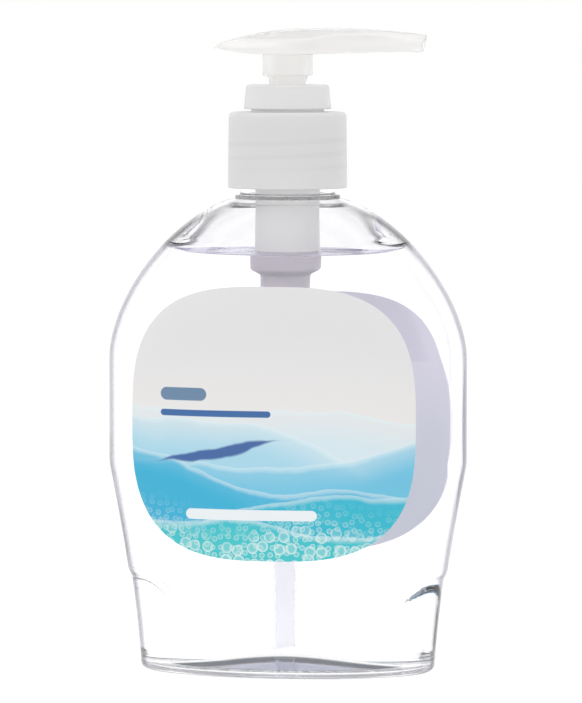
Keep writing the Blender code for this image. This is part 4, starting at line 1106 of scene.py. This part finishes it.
# Stem, piston and gasket
# The stem is a hollow moulding with a stop and a foot that hold the cup seal between them. The
# gasket is a foamed ring under the housing's flange.
STEM_RADIUS, STEM_BORE, STOP_RADIUS = 0.0034, 0.0022, 0.0055
STOP_TOP, STOP_BOTTOM, FOOT_TOP, FOOT_BOTTOM = 0.1044, 0.1036, 0.0962, 0.0953
OUTLET_HOLE, OUTLET_LIP, OUTLET_LIP_BOTTOM, OUTLET_LIP_TOP = 0.0010, 0.0014, 0.10079, 0.10159
stem_profile = [
    (STEM_BORE, STEM_TOP, 0.0002), (STEM_RADIUS, STEM_TOP, 0.0002), (STEM_RADIUS, STOP_TOP, EDGE),
    (STOP_RADIUS, STOP_TOP, EDGE), (STOP_RADIUS, STOP_BOTTOM, EDGE), (STEM_RADIUS, STOP_BOTTOM, 0),
    (STEM_RADIUS, FOOT_TOP, 0), (STOP_RADIUS, FOOT_TOP, EDGE), (STOP_RADIUS, FOOT_BOTTOM, EDGE),
    (OUTLET_HOLE, FOOT_BOTTOM, 0), (OUTLET_HOLE, FOOT_TOP, 0),
    (STEM_BORE, FOOT_TOP + STEM_BORE - OUTLET_HOLE, 0),
    (STEM_BORE, OUTLET_LIP_BOTTOM, 0), (OUTLET_LIP, OUTLET_LIP_BOTTOM, 0), (OUTLET_LIP, OUTLET_LIP_TOP, 0),
    (STEM_BORE, OUTLET_LIP_TOP, 0)]
add_piece("pump_stem", turned("pump_stem", stem_profile), natural_plastic, "head_body", "stem")

piston_low, piston_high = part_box("piston_seal")
SEAL_RADIUS, SEAL_LIP = piston_high.x, 0.0012
SEAL_WAIST, SEAL_BORE = SEAL_RADIUS - 0.0008, STEM_RADIUS + 0.0001
seal_profile = [
    (SEAL_RADIUS - SEAL_LIP / 2, piston_high.z, 0.0002), (SEAL_RADIUS, piston_high.z, 0.0002),
    (SEAL_RADIUS, piston_high.z - SEAL_LIP, 0.0004), (SEAL_WAIST, piston_high.z - 2 * SEAL_LIP, 0.0004),
    (SEAL_WAIST, piston_low.z + 2 * SEAL_LIP, 0.0004), (SEAL_RADIUS, piston_low.z + SEAL_LIP, 0.0004),
    (SEAL_RADIUS, piston_low.z, 0.0002), (SEAL_RADIUS - SEAL_LIP / 2, piston_low.z, 0.0002),
    (SEAL_RADIUS - SEAL_LIP, piston_low.z + 1.5 * SEAL_LIP, 0.0003),
    (SEAL_BORE, piston_low.z + 1.5 * SEAL_LIP, 0), (SEAL_BORE, piston_high.z - 1.5 * SEAL_LIP, 0),
    (SEAL_RADIUS - SEAL_LIP, piston_high.z - 1.5 * SEAL_LIP, 0.0003)]
seal_plastic = plastic("seal_plastic", (0.80, 0.80, 0.77), 0.45, 0.10, 0.004, 0.00001)
add_piece("cup_seal", turned("cup_seal", seal_profile), seal_plastic, "plunger_body", "piston_seal")

gasket_low, gasket_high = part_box("neck_gasket")
gasket_profile = [(BARREL_RADIUS + 0.0002, gasket_high.z, 0), (FLANGE_RADIUS, gasket_high.z, 0.0002),
                  (FLANGE_RADIUS, gasket_low.z, 0.0002), (BARREL_RADIUS + 0.0002, gasket_low.z, 0)]
gasket_foam = plastic("gasket_foam", (0.80, 0.80, 0.78), 0.80, 0.15, 0.0009, 0.00008)
add_piece("foam_gasket", turned("foam_gasket", gasket_profile), gasket_foam, "pump_body", "neck_gasket")

# Dip tube
# Extruded natural polyethylene, cut off at a slant like the real one so that it can't seal
# against the floor.
TUBE_BORE, TUBE_SLANT = 0.0021, 0.0012
tube_low, tube_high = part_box("dip_tube")


def tube_ring(radius, height):
    """A ring of the tube, whose foot is cut at a slant."""
    cut = max(1 - (height - tube_low.z) / 0.004, 0.0)
    return [(x, y, z + cut * TUBE_SLANT * (1 + x / TUBE_RADIUS) / 2) for x, y, z in circle(radius, height)]


tube_rings = [tube_ring(TUBE_BORE, height) for height in spread(tube_high.z, tube_low.z, 24)]
tube_rings += [tube_ring(TUBE_RADIUS, height) for height in spread(tube_low.z, tube_high.z, 24)]
tube_plastic = plastic("tube_plastic", (0.95, 0.95, 0.98), 0.10, 0.04, 0.010, 0.00001, transmission=0.93,
                       ior=PE_INDEX / SOAP_INDEX)
add_piece("suction_tube", loft("suction_tube", tube_rings, closed=True), tube_plastic, "pump_body",
          "dip_tube")

# Balls
# Ground stainless steel, each loose in its cage.
ball_steel = plastic("ball_steel", (0.62, 0.62, 0.64), 0.16, 0.06, 0.0006, 0.000002, metallic=1.0)
for node, body in (("inlet_ball", "inlet_ball_body"), ("outlet_ball", "outlet_ball_body")):
    low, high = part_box(node)
    builder = bmesh.new()
    bmesh.ops.create_icosphere(builder, subdivisions=4, radius=(high.z - low.z) / 2)
    bmesh.ops.translate(builder, vec=(low + high) / 2, verts=builder.verts)
    ball_mesh = bpy.data.meshes.new(node + "_ground")
    builder.to_mesh(ball_mesh)
    builder.free()
    add_piece(node + "_ground", ball_mesh, ball_steel, body, node, 180)

# Return spring
# Drawn stainless wire, wound with its end turns closed. It stands on the housing's ledge and
# carries the stem's foot.
spring_low, spring_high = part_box("return_spring")
SPRING_WIRE, COIL_TURNS, COIL_STEPS = 0.0007, 8, 36
spring_steel = plastic("spring_steel", (0.50, 0.51, 0.53), 0.26, 0.08, 0.0004, 0.000004, metallic=1.0)


def make_coil_tree():
    """Geometry Nodes: a coil spring's wire swept along a helix that lies flat at both ends."""
    tree = bpy.data.node_groups.new("coil_spring", "GeometryNodeTree")
    tree.interface.new_socket("Geometry", in_out="OUTPUT", socket_type="NodeSocketGeometry")
    for label in ("Radius", "Wire Radius", "Low", "High", "Turns"):
        tree.interface.new_socket(label, in_out="INPUT", socket_type="NodeSocketFloat")
    tree.interface.new_socket("Steel", in_out="INPUT", socket_type="NodeSocketMaterial")
    given, made = tree.nodes.new("NodeGroupInput"), tree.nodes.new("NodeGroupOutput")
    line = tree.nodes.new("GeometryNodeCurvePrimitiveLine")
    steps = tree.nodes.new("GeometryNodeResampleCurve")
    steps.inputs["Count"].default_value = COIL_TURNS * COIL_STEPS + 1
    join(tree, line.outputs[0], steps.inputs["Curve"])
    along = tree.nodes.new("GeometryNodeSplineParameter").outputs["Factor"]
    turns = given.outputs["Turns"]
    angle = times(tree, times(tree, along, turns), 2 * math.pi)
    turn = times(tree, along, turns)
    wire = times(tree, given.outputs["Wire Radius"], 2.1)
    first = times(tree, add_math(tree, "MINIMUM", turn, 1.0), wire)
    last_turn = add_math(tree, "MAXIMUM", minus(tree, turn, minus(tree, turns, 1.0)), 0.0)
    last = times(tree, last_turn, wire)
    open_turns = minus(tree, turns, 2.0)
    share = add_math(tree, "DIVIDE", add_math(tree, "SUBTRACT", turn, 1.0), open_turns, clamp=True)
    span = minus(tree, given.outputs["High"], given.outputs["Low"])
    rise = minus(tree, span, times(tree, wire, 2.0))
    closed_turns = plus(tree, given.outputs["Low"], plus(tree, first, last))
    height = plus(tree, closed_turns, times(tree, share, rise))
    spot = tree.nodes.new("ShaderNodeCombineXYZ")
    join(tree, times(tree, add_math(tree, "COSINE", angle), given.outputs["Radius"]), spot.inputs["X"])
    join(tree, times(tree, add_math(tree, "SINE", angle), given.outputs["Radius"]), spot.inputs["Y"])
    join(tree, height, spot.inputs["Z"])
    bent = tree.nodes.new("GeometryNodeSetPosition")
    join(tree, steps.outputs[0], bent.inputs["Geometry"])
    join(tree, spot.outputs[0], bent.inputs["Position"])
    section = tree.nodes.new("GeometryNodeCurvePrimitiveCircle")
    section.inputs["Resolution"].default_value = 14
    join(tree, given.outputs["Wire Radius"], section.inputs["Radius"])
    swept = tree.nodes.new("GeometryNodeCurveToMesh")
    swept.inputs["Fill Caps"].default_value = True
    join(tree, bent.outputs[0], swept.inputs["Curve"])
    join(tree, section.outputs[0], swept.inputs["Profile Curve"])
    smooth = tree.nodes.new("GeometryNodeSetShadeSmooth")
    join(tree, swept.outputs[0], smooth.inputs["Geometry"])
    real = tree.nodes.new("GeometryNodeRealizeInstances")
    join(tree, smooth.outputs[0], real.inputs[0])
    painted = tree.nodes.new("GeometryNodeSetMaterial")
    join(tree, real.outputs[0], painted.inputs["Geometry"])
    join(tree, given.outputs["Steel"], painted.inputs["Material"])
    join(tree, painted.outputs[0], made.inputs[0])
    return tree


def grown(tree, values):
    """The plain mesh that a Geometry Nodes tree makes with these named inputs."""
    seed = bpy.data.objects.new("seed", bpy.data.meshes.new("seed"))
    scene.collection.objects.link(seed)
    modifier = seed.modifiers.new("nodes", "NODES")
    modifier.node_group = tree
    for item in tree.interface.items_tree:
        if item.in_out == "INPUT":
            modifier[item.identifier] = values[item.name]
    graph = bpy.context.evaluated_depsgraph_get()
    mesh = bpy.data.meshes.new_from_object(seed.evaluated_get(graph))
    bpy.data.objects.remove(seed)
    return mesh


wound = grown(make_coil_tree(), {
    "Radius": spring_high.x - SPRING_WIRE / 2, "Wire Radius": SPRING_WIRE / 2,
    "Low": spring_low.z + SPRING_WIRE / 2, "High": spring_high.z - SPRING_WIRE / 2,
    "Turns": float(COIL_TURNS), "Steel": spring_steel})
add_piece("wound_spring", wound, spring_steel, "pump_body", "return_spring", 60)
